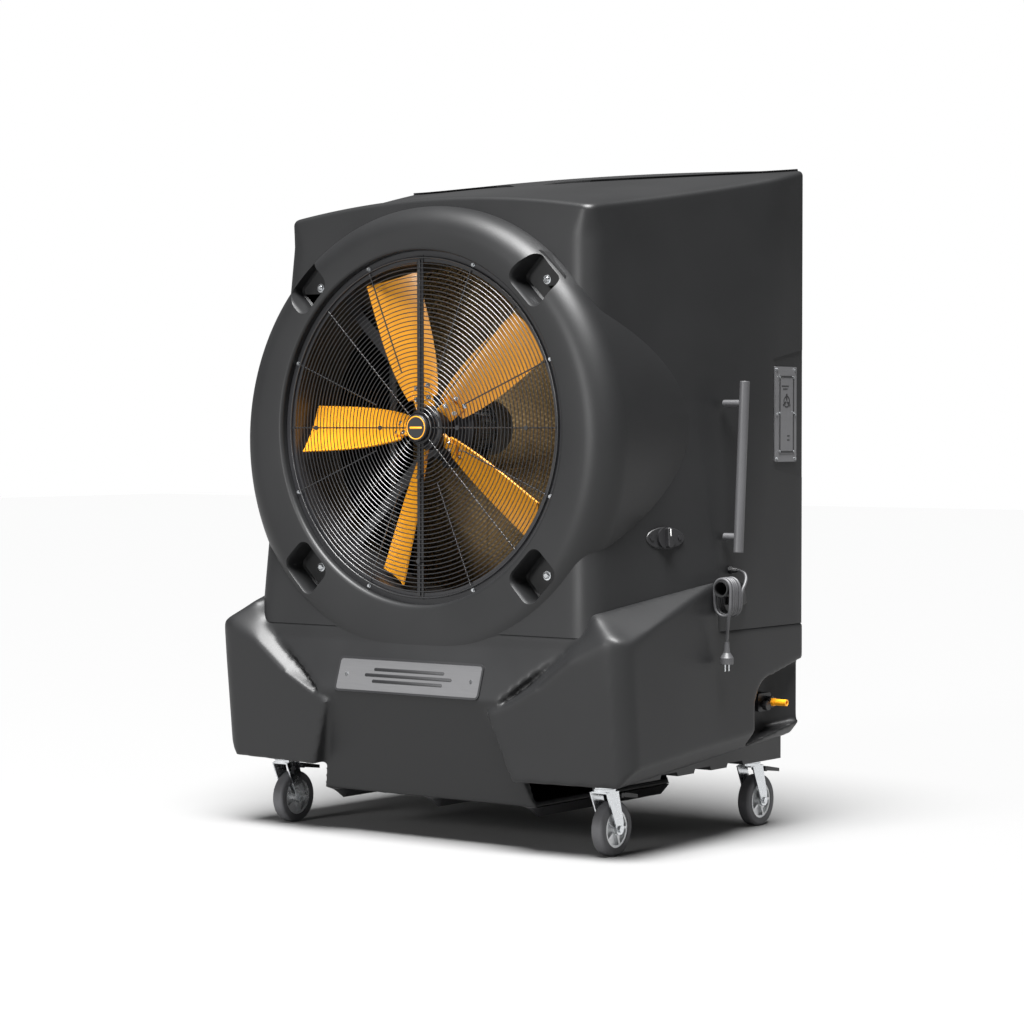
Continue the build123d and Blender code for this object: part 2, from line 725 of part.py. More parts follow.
with BuildPart() as handle_right:
    with BuildSketch(Plane(origin=(HANDLE_X, 22, 820), z_dir=(0, 32, 474))):
        Circle(HANDLE_R)
    extrude(amount=475)
    for y, z, face in ((25, 862, 718), (50, 1232, 700)):
        with BuildSketch(side_plane(face)):
            with Locations((y, z)):
                Circle(11)
        extrude(amount=HANDLE_X - face)
    chamfer(handle_right.faces().group_by(Axis.Z)[-1].edges(), 1.5)
finish(handle_right, "handle_right")

with BuildPart() as handle_left:
    add(handle_right.part)
    mirror(about=Plane.YZ, mode=Mode.REPLACE)
finish(handle_left, "handle_left")

# ---------------------------------------------------------------------------
# Rotary isolator on the scooped side wall
# ---------------------------------------------------------------------------
WALL_OUT = Vector(0.948, -0.317, 0.086).normalized()
SWITCH_FACE = Plane(origin=Vector(*SWITCH) + WALL_OUT * 3, x_dir=(0.317, 0.948, 0), z_dir=WALL_OUT)

with BuildPart() as switch_flange:
    with BuildSketch(SWITCH_FACE.offset(-7)):
        Ellipse(65, 30)
    extrude(amount=15)
    chamfer(switch_flange.faces().sort_by(lambda f: f.center().dot(WALL_OUT))[-1].edges(), 2)
    with BuildSketch(SWITCH_FACE.offset(-2)):
        Circle(9.1)
    extrude(amount=20, mode=Mode.SUBTRACT)
    with BuildSketch(SWITCH_FACE.offset(8)):
        with Locations((48, 0), (-48, 0)):
            Circle(6)
    extrude(amount=3)
    add(upper_housing.part, mode=Mode.SUBTRACT)
finish(switch_flange, "switch_flange")

with BuildPart() as switch_knob:
    with BuildSketch(SWITCH_FACE.offset(-1.5)):
        Circle(9.05)
    extrude(amount=12)
    with BuildSketch(SWITCH_FACE.offset(8.4)):
        Circle(30)
    extrude(amount=8)
    with BuildSketch(SWITCH_FACE.offset(16.4)):
        RectangleRounded(15, 56, 6)
    extrude(amount=16)
    fillet(switch_knob.faces().sort_by(lambda f: f.center().dot(WALL_OUT))[-1].edges(), 3)
finish(switch_knob, "switch_knob")

# ---------------------------------------------------------------------------
# Cord hook, gland, cord and plug
# ---------------------------------------------------------------------------
DRUM_R = (COIL_DEEP - 2 * CORD_R) / 2 - 0.5
DRUM_Z = COIL_Z + (COIL_TALL - COIL_DEEP) / 2

with BuildPart() as cable_hook:
    with BuildSketch(Plane.XY.offset(DRUM_Z - 48)):
        Polygon((HALF_W, COIL_Y1 + 4), (COIL_X + DRUM_R, COIL_Y1 + 4), (COIL_X + DRUM_R, COIL_Y1 + 16),
                (HALF_W + 3, 131), (HALF_W, 131), align=None)
    extrude(amount=64)
    with BuildSketch(side_plane(HALF_W)):
        Polygon((COIL_Y1 + 4, DRUM_Z - 60), (131, DRUM_Z - 60), (131, DRUM_Z - 44),
                (COIL_Y1 + 4, DRUM_Z + 16), align=None)
    extrude(amount=60, mode=Mode.INTERSECT)
    with BuildSketch(along(COIL_X, DRUM_Z, COIL_Y0 - 3)):
        Circle(DRUM_R)
        Circle(DRUM_R - 4, mode=Mode.SUBTRACT)
    extrude(amount=-(COIL_Y1 - COIL_Y0 + 10))
finish(cable_hook, "cable_hook")

with BuildPart() as cord_gland:
    with BuildSketch(side_plane(HALF_W - 16)):
        with Locations((GLAND_Y, GLAND_Z)):
            Circle(9)
    extrude(amount=16)
    with BuildSketch(side_plane(HALF_W)):
        with Locations((GLAND_Y, GLAND_Z)):
            RegularPolygon(12, 6)
    extrude(amount=9)
    with BuildSketch(side_plane(HALF_W + 9)):
        with Locations((GLAND_Y, GLAND_Z)):
            Circle(9)
    with BuildSketch(side_plane(HALF_W + 25)):
        with Locations((GLAND_Y, GLAND_Z)):
            Circle(6)
    loft()
finish(cord_gland, "cord_gland")

# The lead leaves the gland, drops into the back of the coil, and leaves the front of the coil for
# the plug. Its two uncoiled stretches are chosen by hand; the coil between them is a stadium ring.
LEAD = [(747, 49, 769), (766, 48, 766), (780, 40, 752), (785, 27, 735), (783.5, 12, 716)]
TAIL = [(781.7, -47, 664), (775, -44, 642), (768, -37, 618), (761, -28, 596), (757, -24, 574)]


def corner_radii(route):
    """The largest tangent arc that fits at each corner of a route."""
    radii = []
    for before, at, after in zip(route, route[1:], route[2:]):
        run_in = Vector(at) - Vector(before)
        run_out = Vector(after) - Vector(at)
        turn = math.radians(run_in.get_angle(run_out))
        radii.append(0.45 * min(run_in.length, run_out.length) / math.tan(turn / 2))
    return radii


def cord_tube(route, name):
    """A round tube along straight runs joined by tangent arcs."""
    radii = corner_radii(route)
    print(name, "radii", [round(r, 1) for r in radii])
    with BuildPart() as tube:
        with BuildLine() as line:
            FilletPolyline(*route, radius=radii)
        path = line.wire()
        with BuildSketch(Plane(origin=path @ 0, z_dir=path % 0)):
            Circle(CORD_R)
        sweep(path=path)
    expected = math.pi * CORD_R**2 * path.length
    print(name, "length", round(path.length, 1), "volume ratio", round(tube.part.volume / expected, 4))
    return tube.part


with BuildPart() as power_cord:
    add(cord_tube(LEAD, "lead"))
    add(cord_tube(TAIL, "tail"))
finish(power_cord, "power_cord")

with BuildPart() as cord_coil:
    with BuildSketch(along(COIL_X, COIL_Z, COIL_Y0)):
        SlotOverall(COIL_TALL + 2 * CORD_R, COIL_DEEP + 2 * CORD_R, rotation=90)
        SlotOverall(COIL_TALL - 2 * CORD_R, COIL_DEEP - 2 * CORD_R, rotation=90, mode=Mode.SUBTRACT)
    extrude(amount=-(COIL_Y1 - COIL_Y0))
finish(cord_coil, "cord_coil")

PLUG_TOP = Vector(*TAIL[-1])
with BuildPart() as plug:
    with BuildSketch(Plane.XY.offset(PLUG_TOP.Z)):
        with Locations((PLUG_TOP.X, PLUG_TOP.Y)):
            Circle(6.5)
    with BuildSketch(Plane.XY.offset(PLUG_TOP.Z - 30)):
        with Locations((PLUG_TOP.X, PLUG_TOP.Y)):
            Circle(9)
    loft()
    with BuildSketch(Plane.XY.offset(PLUG_TOP.Z - 30)):
        with Locations((PLUG_TOP.X, PLUG_TOP.Y)):
            Circle(10)
    with BuildSketch(Plane.XY.offset(PLUG_TOP.Z - 44)):
        with Locations((PLUG_TOP.X, PLUG_TOP.Y)):
            Circle(18.5)
    loft()
    with BuildSketch(Plane.XY.offset(PLUG_TOP.Z - 62)):
        with Locations((PLUG_TOP.X, PLUG_TOP.Y)):
            Circle(18.5)
    extrude(amount=18)
    chamfer(plug.edges().group_by(Axis.Z)[0], 1)
finish(plug, "plug")

with BuildPart() as plug_pins:
    for y in (-9.5, 9.5):
        with BuildSketch(Plane.XY.offset(PLUG_TOP.Z - 81)):
            with Locations((PLUG_TOP.X, PLUG_TOP.Y + y)):
                Circle(2.4)
        extrude(amount=19)
finish(plug_pins, "plug_pins")

# ---------------------------------------------------------------------------
# Water inlet in the cut-back lower rear corner
# ---------------------------------------------------------------------------
with BuildPart() as inlet_valve:
    with BuildSketch(side_plane(644)):
        with Locations((INLET_Y - 14, INLET_Z)):
            RectangleRounded(70, 52, 8)
    extrude(amount=30)
    with BuildSketch(side_plane(674)):
        with Locations((INLET_Y, INLET_Z)):
            Circle(16)
    extrude(amount=18)
    with BuildSketch(side_plane(674)):
        with Locations((INLET_Y - 32, INLET_Z - 8)):
            Circle(6)
    extrude(amount=10)
finish(inlet_valve, "inlet_valve")

with BuildPart() as valve_knob:
    with BuildSketch(side_plane(684.4)):
        with Locations((INLET_Y - 32, INLET_Z - 8)):
            RegularPolygon(14, 8)
    extrude(amount=14)
    chamfer(valve_knob.faces().sort_by(Axis.X)[-1].edges(), 2)
finish(valve_knob, "valve_knob")

with BuildPart() as hose_barb:
    with BuildSketch(side_plane(692)):
        with Locations((INLET_Y, INLET_Z)):
            RegularPolygon(12.5, 6)
    extrude(amount=8)
    with BuildSketch(side_plane(700)):
        with Locations((INLET_Y, INLET_Z)):
            Circle(9.5)
    extrude(amount=40)
    with BuildSketch(side_plane(692)):
        with Locations((INLET_Y, INLET_Z)):
            Circle(6)
    extrude(amount=60, mode=Mode.SUBTRACT)
finish(hose_barb, "hose_barb")

FLOAT_PIVOT = Vector(560, INLET_Y, 380)
with BuildPart() as float_valve:
    with BuildSketch(side_plane(570)):
        with Locations((INLET_Y, INLET_Z)):
            Circle(14)
    extrude(amount=66)
    with BuildSketch(Plane.XZ.offset(-INLET_Y + 12)):
        with Locations((FLOAT_PIVOT.X, FLOAT_PIVOT.Z)):
            RectangleRounded(36, 30, 5)
    extrude(amount=-6)
    with BuildSketch(Plane.XZ.offset(-INLET_Y - 6)):
        with Locations((FLOAT_PIVOT.X, FLOAT_PIVOT.Z)):
            RectangleRounded(36, 30, 5)
    extrude(amount=-6)
    with BuildSketch(Plane.XZ.offset(-INLET_Y + 12)):
        with Locations((FLOAT_PIVOT.X, FLOAT_PIVOT.Z)):
            Circle(3)
    extrude(amount=-24)
finish(float_valve, "float_valve")

with BuildPart() as float_arm:
    with BuildSketch(Plane.XZ.offset(-INLET_Y + 4)):
        with Locations((FLOAT_PIVOT.X, FLOAT_PIVOT.Z)):
            Circle(8)
            Circle(3.06, mode=Mode.SUBTRACT)
    extrude(amount=-8)
    with BuildSketch(side_plane(FLOAT_PIVOT.X - 7)):
        with Locations((INLET_Y, FLOAT_PIVOT.Z)):
            Circle(3)
    extrude(amount=-150)
    with BuildSketch(side_plane(FLOAT_PIVOT.X - 157)):
        with Locations((INLET_Y, FLOAT_PIVOT.Z)):
            Circle(38)
    extrude(amount=-90)
    fillet(float_arm.faces().filter_by(Axis.X).filter_by(lambda f: f.area > 3000).edges(), 14)
finish(float_arm, "float_arm")

# ---------------------------------------------------------------------------
# Casters: plate, fork with axle bolt, rim, tyre and brake pedal
# ---------------------------------------------------------------------------
CASTERS = {
    "front_right": (TRACK_X, FRONT_SWIVEL_Y),
    "front_left": (-TRACK_X, FRONT_SWIVEL_Y),
    "rear_right": (TRACK_X, REAR_SWIVEL_Y),
    "rear_left": (-TRACK_X, REAR_SWIVEL_Y),
}

with BuildPart() as caster_plates:
    for x, y in CASTERS.values():
        with BuildSketch(Plane.XY.offset(CASTER_TOP_Z - 5)):
            with Locations((x, y)):
                RectangleRounded(100, 84, 6)
                with GridLocations(78, 60, 2, 2):
                    SlotCenterToCenter(6, 9, mode=Mode.SUBTRACT)
        extrude(amount=5)
        with BuildSketch(Plane.XY.offset(CASTER_TOP_Z - 14)):
            with Locations((x, y)):
                Circle(30)
        extrude(amount=9)
        with BuildSketch(Plane.XY.offset(CASTER_TOP_Z - 26)):
            with Locations((x, y)):
                Circle(7)
        extrude(amount=12)
finish(caster_plates, "caster_plates")


def wheel_plane(x, y, offset):
    """A plane across the axle of one wheel, facing +X, at this offset from its middle."""
    return Plane(origin=(x + offset, y + TRAIL, WHEEL_R), x_dir=(0, 1, 0), z_dir=(1, 0, 0))


for corner, (x, y) in CASTERS.items():
    outboard = 1 if x > 0 else -1
    with BuildPart() as fork:
        with BuildSketch(Plane.XY.offset(CASTER_TOP_Z - 22)):
            with Locations((x, y)):
                Circle(32)
                Circle(7.06, mode=Mode.SUBTRACT)
        extrude(amount=7.6)
        with BuildSketch(Plane.XY.offset(CASTER_TOP_Z - 26)):
            with Locations((x, y + 4)):
                RectangleRounded(58, 62, 8)
            with Locations((x, y)):
                Circle(7.06, mode=Mode.SUBTRACT)
        extrude(amount=4)
        for leg in (-1, 1):
            with BuildSketch(wheel_plane(x, y, leg * 27 - 2)):
                Polygon((-62, 103), (-8, 103), (16, 20), (16, -8), (8, -15), (-8, -15), (-16, -8), (-20, 12),
                        (-56, 88), align=None)
            extrude(amount=4)
        with BuildSketch(wheel_plane(x, y, -32)):
            RegularPolygon(10, 6)
        extrude(amount=3)
        with BuildSketch(wheel_plane(x, y, 29)):
            RegularPolygon(10, 6)
        extrude(amount=5)
        with BuildSketch(wheel_plane(x, y, -29)):
            Circle(6)
        extrude(amount=58)
    finish(fork, f"fork_{corner}")

    with BuildPart() as rim:
        with BuildSketch(wheel_plane(x, y, -17)):
            Circle(52)
            Circle(6.06, mode=Mode.SUBTRACT)
        extrude(amount=34)
        for face in (-17, 9):
            with BuildSketch(wheel_plane(x, y, face)):
                Circle(45)
                Circle(17, mode=Mode.SUBTRACT)
                for spoke in range(5):
                    with Locations(Rot(0, 0, spoke * 72) * Pos(30, 0)):
                        Rectangle(40, 7, mode=Mode.SUBTRACT)
            extrude(amount=8, mode=Mode.SUBTRACT)
        with BuildSketch(wheel_plane(x, y, -24)):
            Circle(15)
            Circle(6.06, mode=Mode.SUBTRACT)
        extrude(amount=48)
    finish(rim, f"wheel_rim_{corner}")

    with BuildPart() as tyre:
        with BuildSketch(wheel_plane(x, y, -TYRE_W / 2)):
            Circle(WHEEL_R)
            Circle(52, mode=Mode.SUBTRACT)
        extrude(amount=TYRE_W)
        fillet(tyre.edges().filter_by(GeomType.CIRCLE).filter_by(lambda e: e.radius > WHEEL_R - 1), 9)
    finish(tyre, f"tyre_{corner}")

    with BuildPart() as pedal:
        with BuildSketch(wheel_plane(x, y, -24)):
            Polygon((22, 90), (30, 97), (92, 86), (92, 76), (30, 84), align=None)
        extrude(amount=48)
        with BuildSketch(wheel_plane(x, y, -24)):
            with Locations((20, 90)):
                Circle(7)
        extrude(amount=48)
    finish(pedal, f"brake_pedal_{corner}")
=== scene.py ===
import json
import math
import bmesh
import bpy
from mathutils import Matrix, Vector


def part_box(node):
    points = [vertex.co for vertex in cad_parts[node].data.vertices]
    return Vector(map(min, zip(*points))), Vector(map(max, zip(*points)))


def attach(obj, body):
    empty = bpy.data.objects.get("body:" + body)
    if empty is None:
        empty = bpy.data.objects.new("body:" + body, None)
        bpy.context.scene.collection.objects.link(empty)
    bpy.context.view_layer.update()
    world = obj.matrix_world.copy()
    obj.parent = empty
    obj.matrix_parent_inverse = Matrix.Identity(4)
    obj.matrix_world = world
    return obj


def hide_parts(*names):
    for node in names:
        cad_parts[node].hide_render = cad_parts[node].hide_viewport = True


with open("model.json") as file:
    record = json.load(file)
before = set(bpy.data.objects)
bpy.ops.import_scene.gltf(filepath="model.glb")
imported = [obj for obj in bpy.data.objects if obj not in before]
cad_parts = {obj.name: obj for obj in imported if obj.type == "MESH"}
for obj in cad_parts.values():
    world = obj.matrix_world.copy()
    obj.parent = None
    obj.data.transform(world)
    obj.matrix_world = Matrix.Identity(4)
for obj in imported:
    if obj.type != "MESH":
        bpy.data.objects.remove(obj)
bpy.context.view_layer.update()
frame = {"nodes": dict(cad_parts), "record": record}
nodes = frame["nodes"]
MM = 0.001
HALF_W, REAR_Y, SEAM_Z = 722.0, 445.0, 600.0
FAN_Z = 1165.0
SHROUD_R, SHROUD_Z = 662.0, 1124.0

# ---------------------------------------------------------------------------
# Camera
# ---------------------------------------------------------------------------
CAMERA_AT = Vector((4.939, -6.655, 1.165))
CAMERA_TURN = math.radians(36.58)
CAMERA_DIP = math.radians(1.7)

camera_data = bpy.data.cameras.new("camera")
camera_data.lens = 99.7
camera_data.sensor_width = 36.0
camera = bpy.data.objects.new("camera", camera_data)
camera.location = CAMERA_AT
camera.rotation_euler = (math.radians(90) - CAMERA_DIP, 0.0, CAMERA_TURN)
bpy.context.scene.collection.objects.link(camera)
bpy.context.scene.camera = camera


# ---------------------------------------------------------------------------
# Small mesh helpers. Shapes are written in millimetres and stored in metres.
# ---------------------------------------------------------------------------
def link(name, mesh, body="cabinet"):
    """Put a mesh or curve in the scene as a piece that rides on a body."""
    piece = bpy.data.objects.new(name, mesh)
    bpy.context.scene.collection.objects.link(piece)
    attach(piece, body)
    return piece


def from_bmesh(name, shape, body="cabinet"):
    """Turn a bmesh in millimetres into a piece."""
    bmesh.ops.scale(shape, vec=(MM, MM, MM), verts=shape.verts)
    mesh = bpy.data.meshes.new(name)
    shape.to_mesh(mesh)
    shape.free()
    for face in mesh.polygons:
        face.use_smooth = True
    return link(name, mesh, body)


def use(piece, material):
    """Give a piece its finish."""
    piece.data.materials.clear()
    piece.data.materials.append(material)
    return piece


def apply_modifiers(piece):
    """Make the result of a piece's modifiers its own mesh."""
    graph = bpy.context.evaluated_depsgraph_get()
    made = bpy.data.meshes.new_from_object(piece.evaluated_get(graph))
    piece.modifiers.clear()
    piece.data = made


def sharpen(piece, degrees):
    """Smooth shading that keeps edges steeper than this angle crisp."""
    mesh = piece.data
    shape = bmesh.new()
    shape.from_mesh(mesh)
    limit = math.radians(degrees)
    for edge in shape.edges:
        edge.smooth = len(edge.link_faces) == 2 and edge.calc_face_angle(0.0) < limit
    for face in shape.faces:
        face.smooth = True
    shape.to_mesh(mesh)
    shape.free()


def grid_faces(shape, rows):
    """Join closed rows of vertices into quads."""
    for low, high in zip(rows, rows[1:]):
        for index in range(len(low)):
            after = (index + 1) % len(low)
            shape.faces.new((low[index], low[after], high[after], high[index]))


def circle_points(radius, steps):
    """Points of a circle about its middle."""
    turns = [math.tau * step / steps for step in range(steps)]
    return [Vector((radius * math.cos(turn), radius * math.sin(turn))) for turn in turns]


def rings_y(rings, steps):
    """A closed skin through circles square to Y, each given as radius, y and height of its centre."""
    shape = bmesh.new()
    rows = [[shape.verts.new((p.x, y, height + p.y)) for p in circle_points(radius, steps)]
            for radius, y, height in rings]
    grid_faces(shape, rows + [rows[0]])
    bmesh.ops.recalc_face_normals(shape, faces=shape.faces)
    return shape


# ---------------------------------------------------------------------------
# Materials
# ---------------------------------------------------------------------------
def node_material(name, color, roughness, **looks):
    """A procedural material: colour variation, and fine grain in colour, bump and roughness."""
    material = bpy.data.materials.new(name)
    material.use_nodes = True
    tree = material.node_tree
    shader = tree.nodes["Principled BSDF"]
    shader.inputs["Metallic"].default_value = looks.get("metallic", 0.0)
    shader.inputs["Specular IOR Level"].default_value = looks.get("specular", 0.5)
    shader.inputs["Coat Weight"].default_value = looks.get("coat", 0.0)
    place = tree.nodes.new("ShaderNodeTexCoord")
    stretch = tree.nodes.new("ShaderNodeMapping")
    stretch.inputs["Scale"].default_value = looks.get("stretch", (1.0, 1.0, 1.0))
    tree.links.new(place.outputs["Object"], stretch.inputs["Vector"])

    def noise(scale, detail):
        texture = tree.nodes.new("ShaderNodeTexNoise")
        texture.inputs["Scale"].default_value = scale
        texture.inputs["Detail"].default_value = detail
        tree.links.new(stretch.outputs["Vector"], texture.inputs["Vector"])
        return texture.outputs["Fac"]

    def ramp(source, low, high, first, last):
        node = tree.nodes.new("ShaderNodeMapRange")
        node.inputs["From Min"].default_value = low
        node.inputs["From Max"].default_value = high
        node.inputs["To Min"].default_value = first
        node.inputs["To Max"].default_value = last
        tree.links.new(source, node.inputs["Value"])
        return node.outputs["Result"]

    broad = noise(looks.get("broad", 2.5), 5.0)
    fine = noise(looks.get("grain", 900.0), 3.0)
    mix = tree.nodes.new("ShaderNodeMix")
    mix.data_type = "RGBA"
    vary = looks.get("vary", 0.12)
    mix.inputs["A"].default_value = (*[c * (1 - vary) for c in color], 1.0)
    mix.inputs["B"].default_value = (*[min(c * (1 + vary), 1.0) for c in color], 1.0)
    tree.links.new(ramp(broad, 0.3, 0.7, 0.0, 1.0), mix.inputs["Factor"])
    speckle = tree.nodes.new("ShaderNodeMix")
    speckle.data_type = "RGBA"
    speckle.blend_type = "MULTIPLY"
    speckle.inputs["Factor"].default_value = looks.get("speckle", 0.3)
    tree.links.new(mix.outputs["Result"], speckle.inputs["A"])
    shade = tree.nodes.new("ShaderNodeCombineColor")
    level = ramp(fine, 0.3, 0.7, 0.75, 1.15)
    for channel in ("Red", "Green", "Blue"):
        tree.links.new(level, shade.inputs[channel])
    tree.links.new(shade.outputs["Color"], speckle.inputs["B"])
    tree.links.new(speckle.outputs["Result"], shader.inputs["Base Color"])
    spread = looks.get("spread", 0.06)
    rough = tree.nodes.new("ShaderNodeMath")
    rough.operation = "ADD"
    tree.links.new(ramp(broad, 0.3, 0.7, roughness - spread, roughness + spread), rough.inputs[0])
    tree.links.new(ramp(fine, 0.3, 0.7, -0.03, 0.03), rough.inputs[1])
    tree.links.new(rough.outputs["Value"], shader.inputs["Roughness"])
    bump = tree.nodes.new("ShaderNodeBump")
    bump.inputs["Strength"].default_value = looks.get("bump", 0.15)
    bump.inputs["Distance"].default_value = looks.get("depth", 0.0004)
    tree.links.new(fine, bump.inputs["Height"])
    tree.links.new(bump.outputs["Normal"], shader.inputs["Normal"])
    return material


HOUSING = node_material("moulded_housing", (0.0105, 0.0107, 0.0112), 0.45, grain=1400, bump=0.22, vary=0.08,
                        spread=0.05, specular=0.36)
BLACK = node_material("black_plastic", (0.012, 0.012, 0.013), 0.42, grain=1100, bump=0.15)


def fluted_paper():
    """Cross-fluted cellulose: two sets of slanting waves in height, with painted shade that darkens the
    colour where the waves are low, in the flute troughs.
    """
    material = node_material("cellulose_pad", (0.85, 0.58, 0.29), 0.85, grain=260, vary=0.25, broad=9.0,
                             specular=0.2)
    tree = material.node_tree
    shader = tree.nodes["Principled BSDF"]
    place = tree.nodes.new("ShaderNodeTexCoord")
    waves = []
    for slope in (45, -20):
        turn = tree.nodes.new("ShaderNodeMapping")
        turn.inputs["Rotation"].default_value = (0.0, math.radians(slope), 0.0)
        tree.links.new(place.outputs["Object"], turn.inputs["Vector"])
        wave = tree.nodes.new("ShaderNodeTexWave")
        wave.bands_direction = "Z"
        wave.inputs["Scale"].default_value = 22.0
        wave.inputs["Distortion"].default_value = 0.6
        wave.inputs["Detail"].default_value = 1.0
        tree.links.new(turn.outputs["Vector"], wave.inputs["Vector"])
        waves.append(wave.outputs["Fac"])
    both = tree.nodes.new("ShaderNodeMath")
    both.operation = "MULTIPLY"
    tree.links.new(waves[0], both.inputs[0])
    tree.links.new(waves[1], both.inputs[1])
    shade = tree.nodes.new("ShaderNodeMix")
    shade.data_type = "RGBA"
    shade.blend_type = "MULTIPLY"
    shade.inputs["Factor"].default_value = 0.75
    shade.inputs["B"].default_value = (1.0, 1.0, 1.0, 1.0)
    source = shader.inputs["Base Color"].links[0].from_socket
    # Painted shade: the colour darkens towards this dark brown where both waves are low, in the flute
    # troughs.
    trough_shade = tree.nodes.new("ShaderNodeMix")
    trough_shade.data_type = "RGBA"
    trough_shade.inputs["A"].default_value = (0.22, 0.17, 0.12, 1.0)
    trough_shade.inputs["B"].default_value = (1.0, 1.0, 1.0, 1.0)
    tree.links.new(both.outputs["Value"], trough_shade.inputs["Factor"])
    tree.links.new(source, shade.inputs["A"])
    tree.links.new(trough_shade.outputs["Result"], shade.inputs["B"])
    tree.links.new(shade.outputs["Result"], shader.inputs["Base Color"])
    bump = tree.nodes.new("ShaderNodeBump")
    bump.inputs["Strength"].default_value = 0.9
    bump.inputs["Distance"].default_value = 0.004
    tree.links.new(both.outputs["Value"], bump.inputs["Height"])
    tree.links.new(bump.outputs["Normal"], shader.inputs["Normal"])
    return material


CELLULOSE = fluted_paper()
PIPE = node_material("pipe_plastic", (0.55, 0.56, 0.56), 0.38, grain=700, bump=0.05)
DUCT = node_material("duct_black_paint", (0.018, 0.018, 0.020), 0.38, grain=500, bump=0.12)
WIRE = node_material("guard_black_paint", (0.014, 0.014, 0.015), 0.30, grain=700, bump=0.08, coat=0.2)
STEEL = node_material("turned_steel", (0.55, 0.55, 0.56), 0.28, metallic=1.0, grain=400, stretch=(1, 12, 1))
ZINC = node_material("bright_zinc", (0.70, 0.72, 0.74), 0.24, metallic=1.0, grain=120, bump=0.1,
                     vary=0.10, spread=0.09, broad=30.0)
ORANGE = node_material("orange_blade", (0.80, 0.33, 0.012), 0.36, grain=600, bump=0.08, vary=0.06,
                       coat=0.15)
MOTOR = node_material("motor_grey_paint", (0.24, 0.25, 0.26), 0.42, grain=420, bump=0.25)
PLATE = node_material("brushed_plate", (0.13, 0.13, 0.135), 0.42, metallic=0.3, grain=300,
                      stretch=(1, 1, 22), bump=0.1, vary=0.05)
PLATE_WIDE = node_material("brushed_nameplate", (0.105, 0.105, 0.108), 0.42, metallic=0.3, grain=300,
                           stretch=(0.06, 4, 4), bump=0.1, vary=0.05)
HANDLE = node_material("handle_powder_coat", (0.06, 0.06, 0.063), 0.46, grain=1300, bump=0.3)
CORD = node_material("cord_sheath", (0.055, 0.055, 0.058), 0.48, grain=900, bump=0.12)
RIM = node_material("cast_rim", (0.66, 0.67, 0.68), 0.34, metallic=0.8, grain=260, bump=0.2)
TYRE = node_material("grey_tyre", (0.085, 0.085, 0.09), 0.62, grain=800, bump=0.25, vary=0.15, broad=20.0)
MARK = node_material("white_mark", (0.75, 0.75, 0.74), 0.5, grain=900, bump=0.05)

SLOT_MATERIAL = {
    "housing_plastic": HOUSING, "black_plastic": BLACK, "cellulose": CELLULOSE, "pipe_plastic": PIPE,
    "duct_paint": DUCT, "guard_wire": WIRE, "steel": STEEL, "zinc": ZINC, "blade_orange": ORANGE,
    "motor_paint": MOTOR, "plate_aluminium": PLATE, "handle_paint": HANDLE, "cord_grey": CORD,
    "rim_grey": RIM, "tyre_rubber": TYRE,
}
for entry in frame["record"]["subparts"]:
    node = nodes[entry["node"]]
    node.data.materials.clear()
    node.data.materials.append(SLOT_MATERIAL[entry["material_slot"]])
nodes["nameplate"].data.materials[0] = PLATE_WIDE

# ---------------------------------------------------------------------------
# Mains cord: lead from the gland, five turns on the hook, and the tail to the plug
# ---------------------------------------------------------------------------
CORD_DIAMETER = 0.009
LEAD = [(747, 49, 769), (766, 48, 766), (780, 40, 752), (785, 27, 735), (783.5, 12, 716)]
TAIL = [(781.7, -47, 664), (775, -44, 642), (768, -37, 618), (761, -28, 596), (757, -24, 574)]
COIL_X, COIL_Z = 755.5, 698.0
COIL_BEND, COIL_STRAIGHT = 28.0, 48.0
COIL_TURNS, POINTS_PER_TURN = 5, 16
COIL_FROM, COIL_PAST_LAST_TURN = 24.0, 38.0
COIL_BACK_Y, COIL_DEPTH = 8.5, 54.0
COIL_SWAY, COIL_SLACK = 1.6, 0.03


def stadium(distance):
    """A point on one long turn, measured down its outer side from the top of the straight."""
    bend = math.pi * COIL_BEND
    distance %= 2 * (COIL_STRAIGHT + bend)
    half = COIL_STRAIGHT / 2
    side = 1
    if distance > COIL_STRAIGHT + bend:
        distance -= COIL_STRAIGHT + bend
        side = -1
    if distance < COIL_STRAIGHT:
        return COIL_X + side * COIL_BEND, COIL_Z + side * (half - distance)
    angle = (distance - COIL_STRAIGHT) / COIL_BEND
    return (COIL_X + side * COIL_BEND * math.cos(angle),
            COIL_Z - side * (half + COIL_BEND * math.sin(angle)))


def coil_points():
    """The turns on the hook, each a little different, from the back to the front."""
    turn_length = 2 * (COIL_STRAIGHT + math.pi * COIL_BEND)
    start, end = COIL_FROM, COIL_TURNS * turn_length + COIL_PAST_LAST_TURN
    count = int((end - start) / turn_length * POINTS_PER_TURN)
    points = []
    for index in range(count + 1):
        share = index / count
        x, z = stadium(start + (end - start) * share)
        y = COIL_BACK_Y - COIL_DEPTH * share
        sway = math.sin(share * 11.0) * COIL_SWAY
        slack = 1.0 + COIL_SLACK * math.sin(share * 17.0)
        points.append((x - 0.6 + 0.4 * sway, y + sway * 0.5, COIL_Z + (z - COIL_Z) * slack))
    return points


def round_line(name, points, radius):
    """A round cord along a smooth spline through millimetre points. Its radius is set point by point."""
    curve = bpy.data.curves.new(name, "CURVE")
    curve.dimensions = "3D"
    spline = curve.splines.new("NURBS")
    spline.points.add(len(points) - 1)
    for target, point in zip(spline.points, points):
        target.co = (point[0] * MM, point[1] * MM, point[2] * MM, 1.0)
        target.radius = radius
    spline.order_u = 3
    spline.use_endpoint_u = True
    curve.resolution_u = 5
    curve.bevel_depth = 1.0
    curve.bevel_resolution = 4
    curve.use_fill_caps = True
    return link(name, curve)


mains_cord = round_line("mains_cord", LEAD + coil_points() + TAIL, CORD_DIAMETER / 2)
use(mains_cord, CORD)
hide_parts("power_cord", "cord_coil")

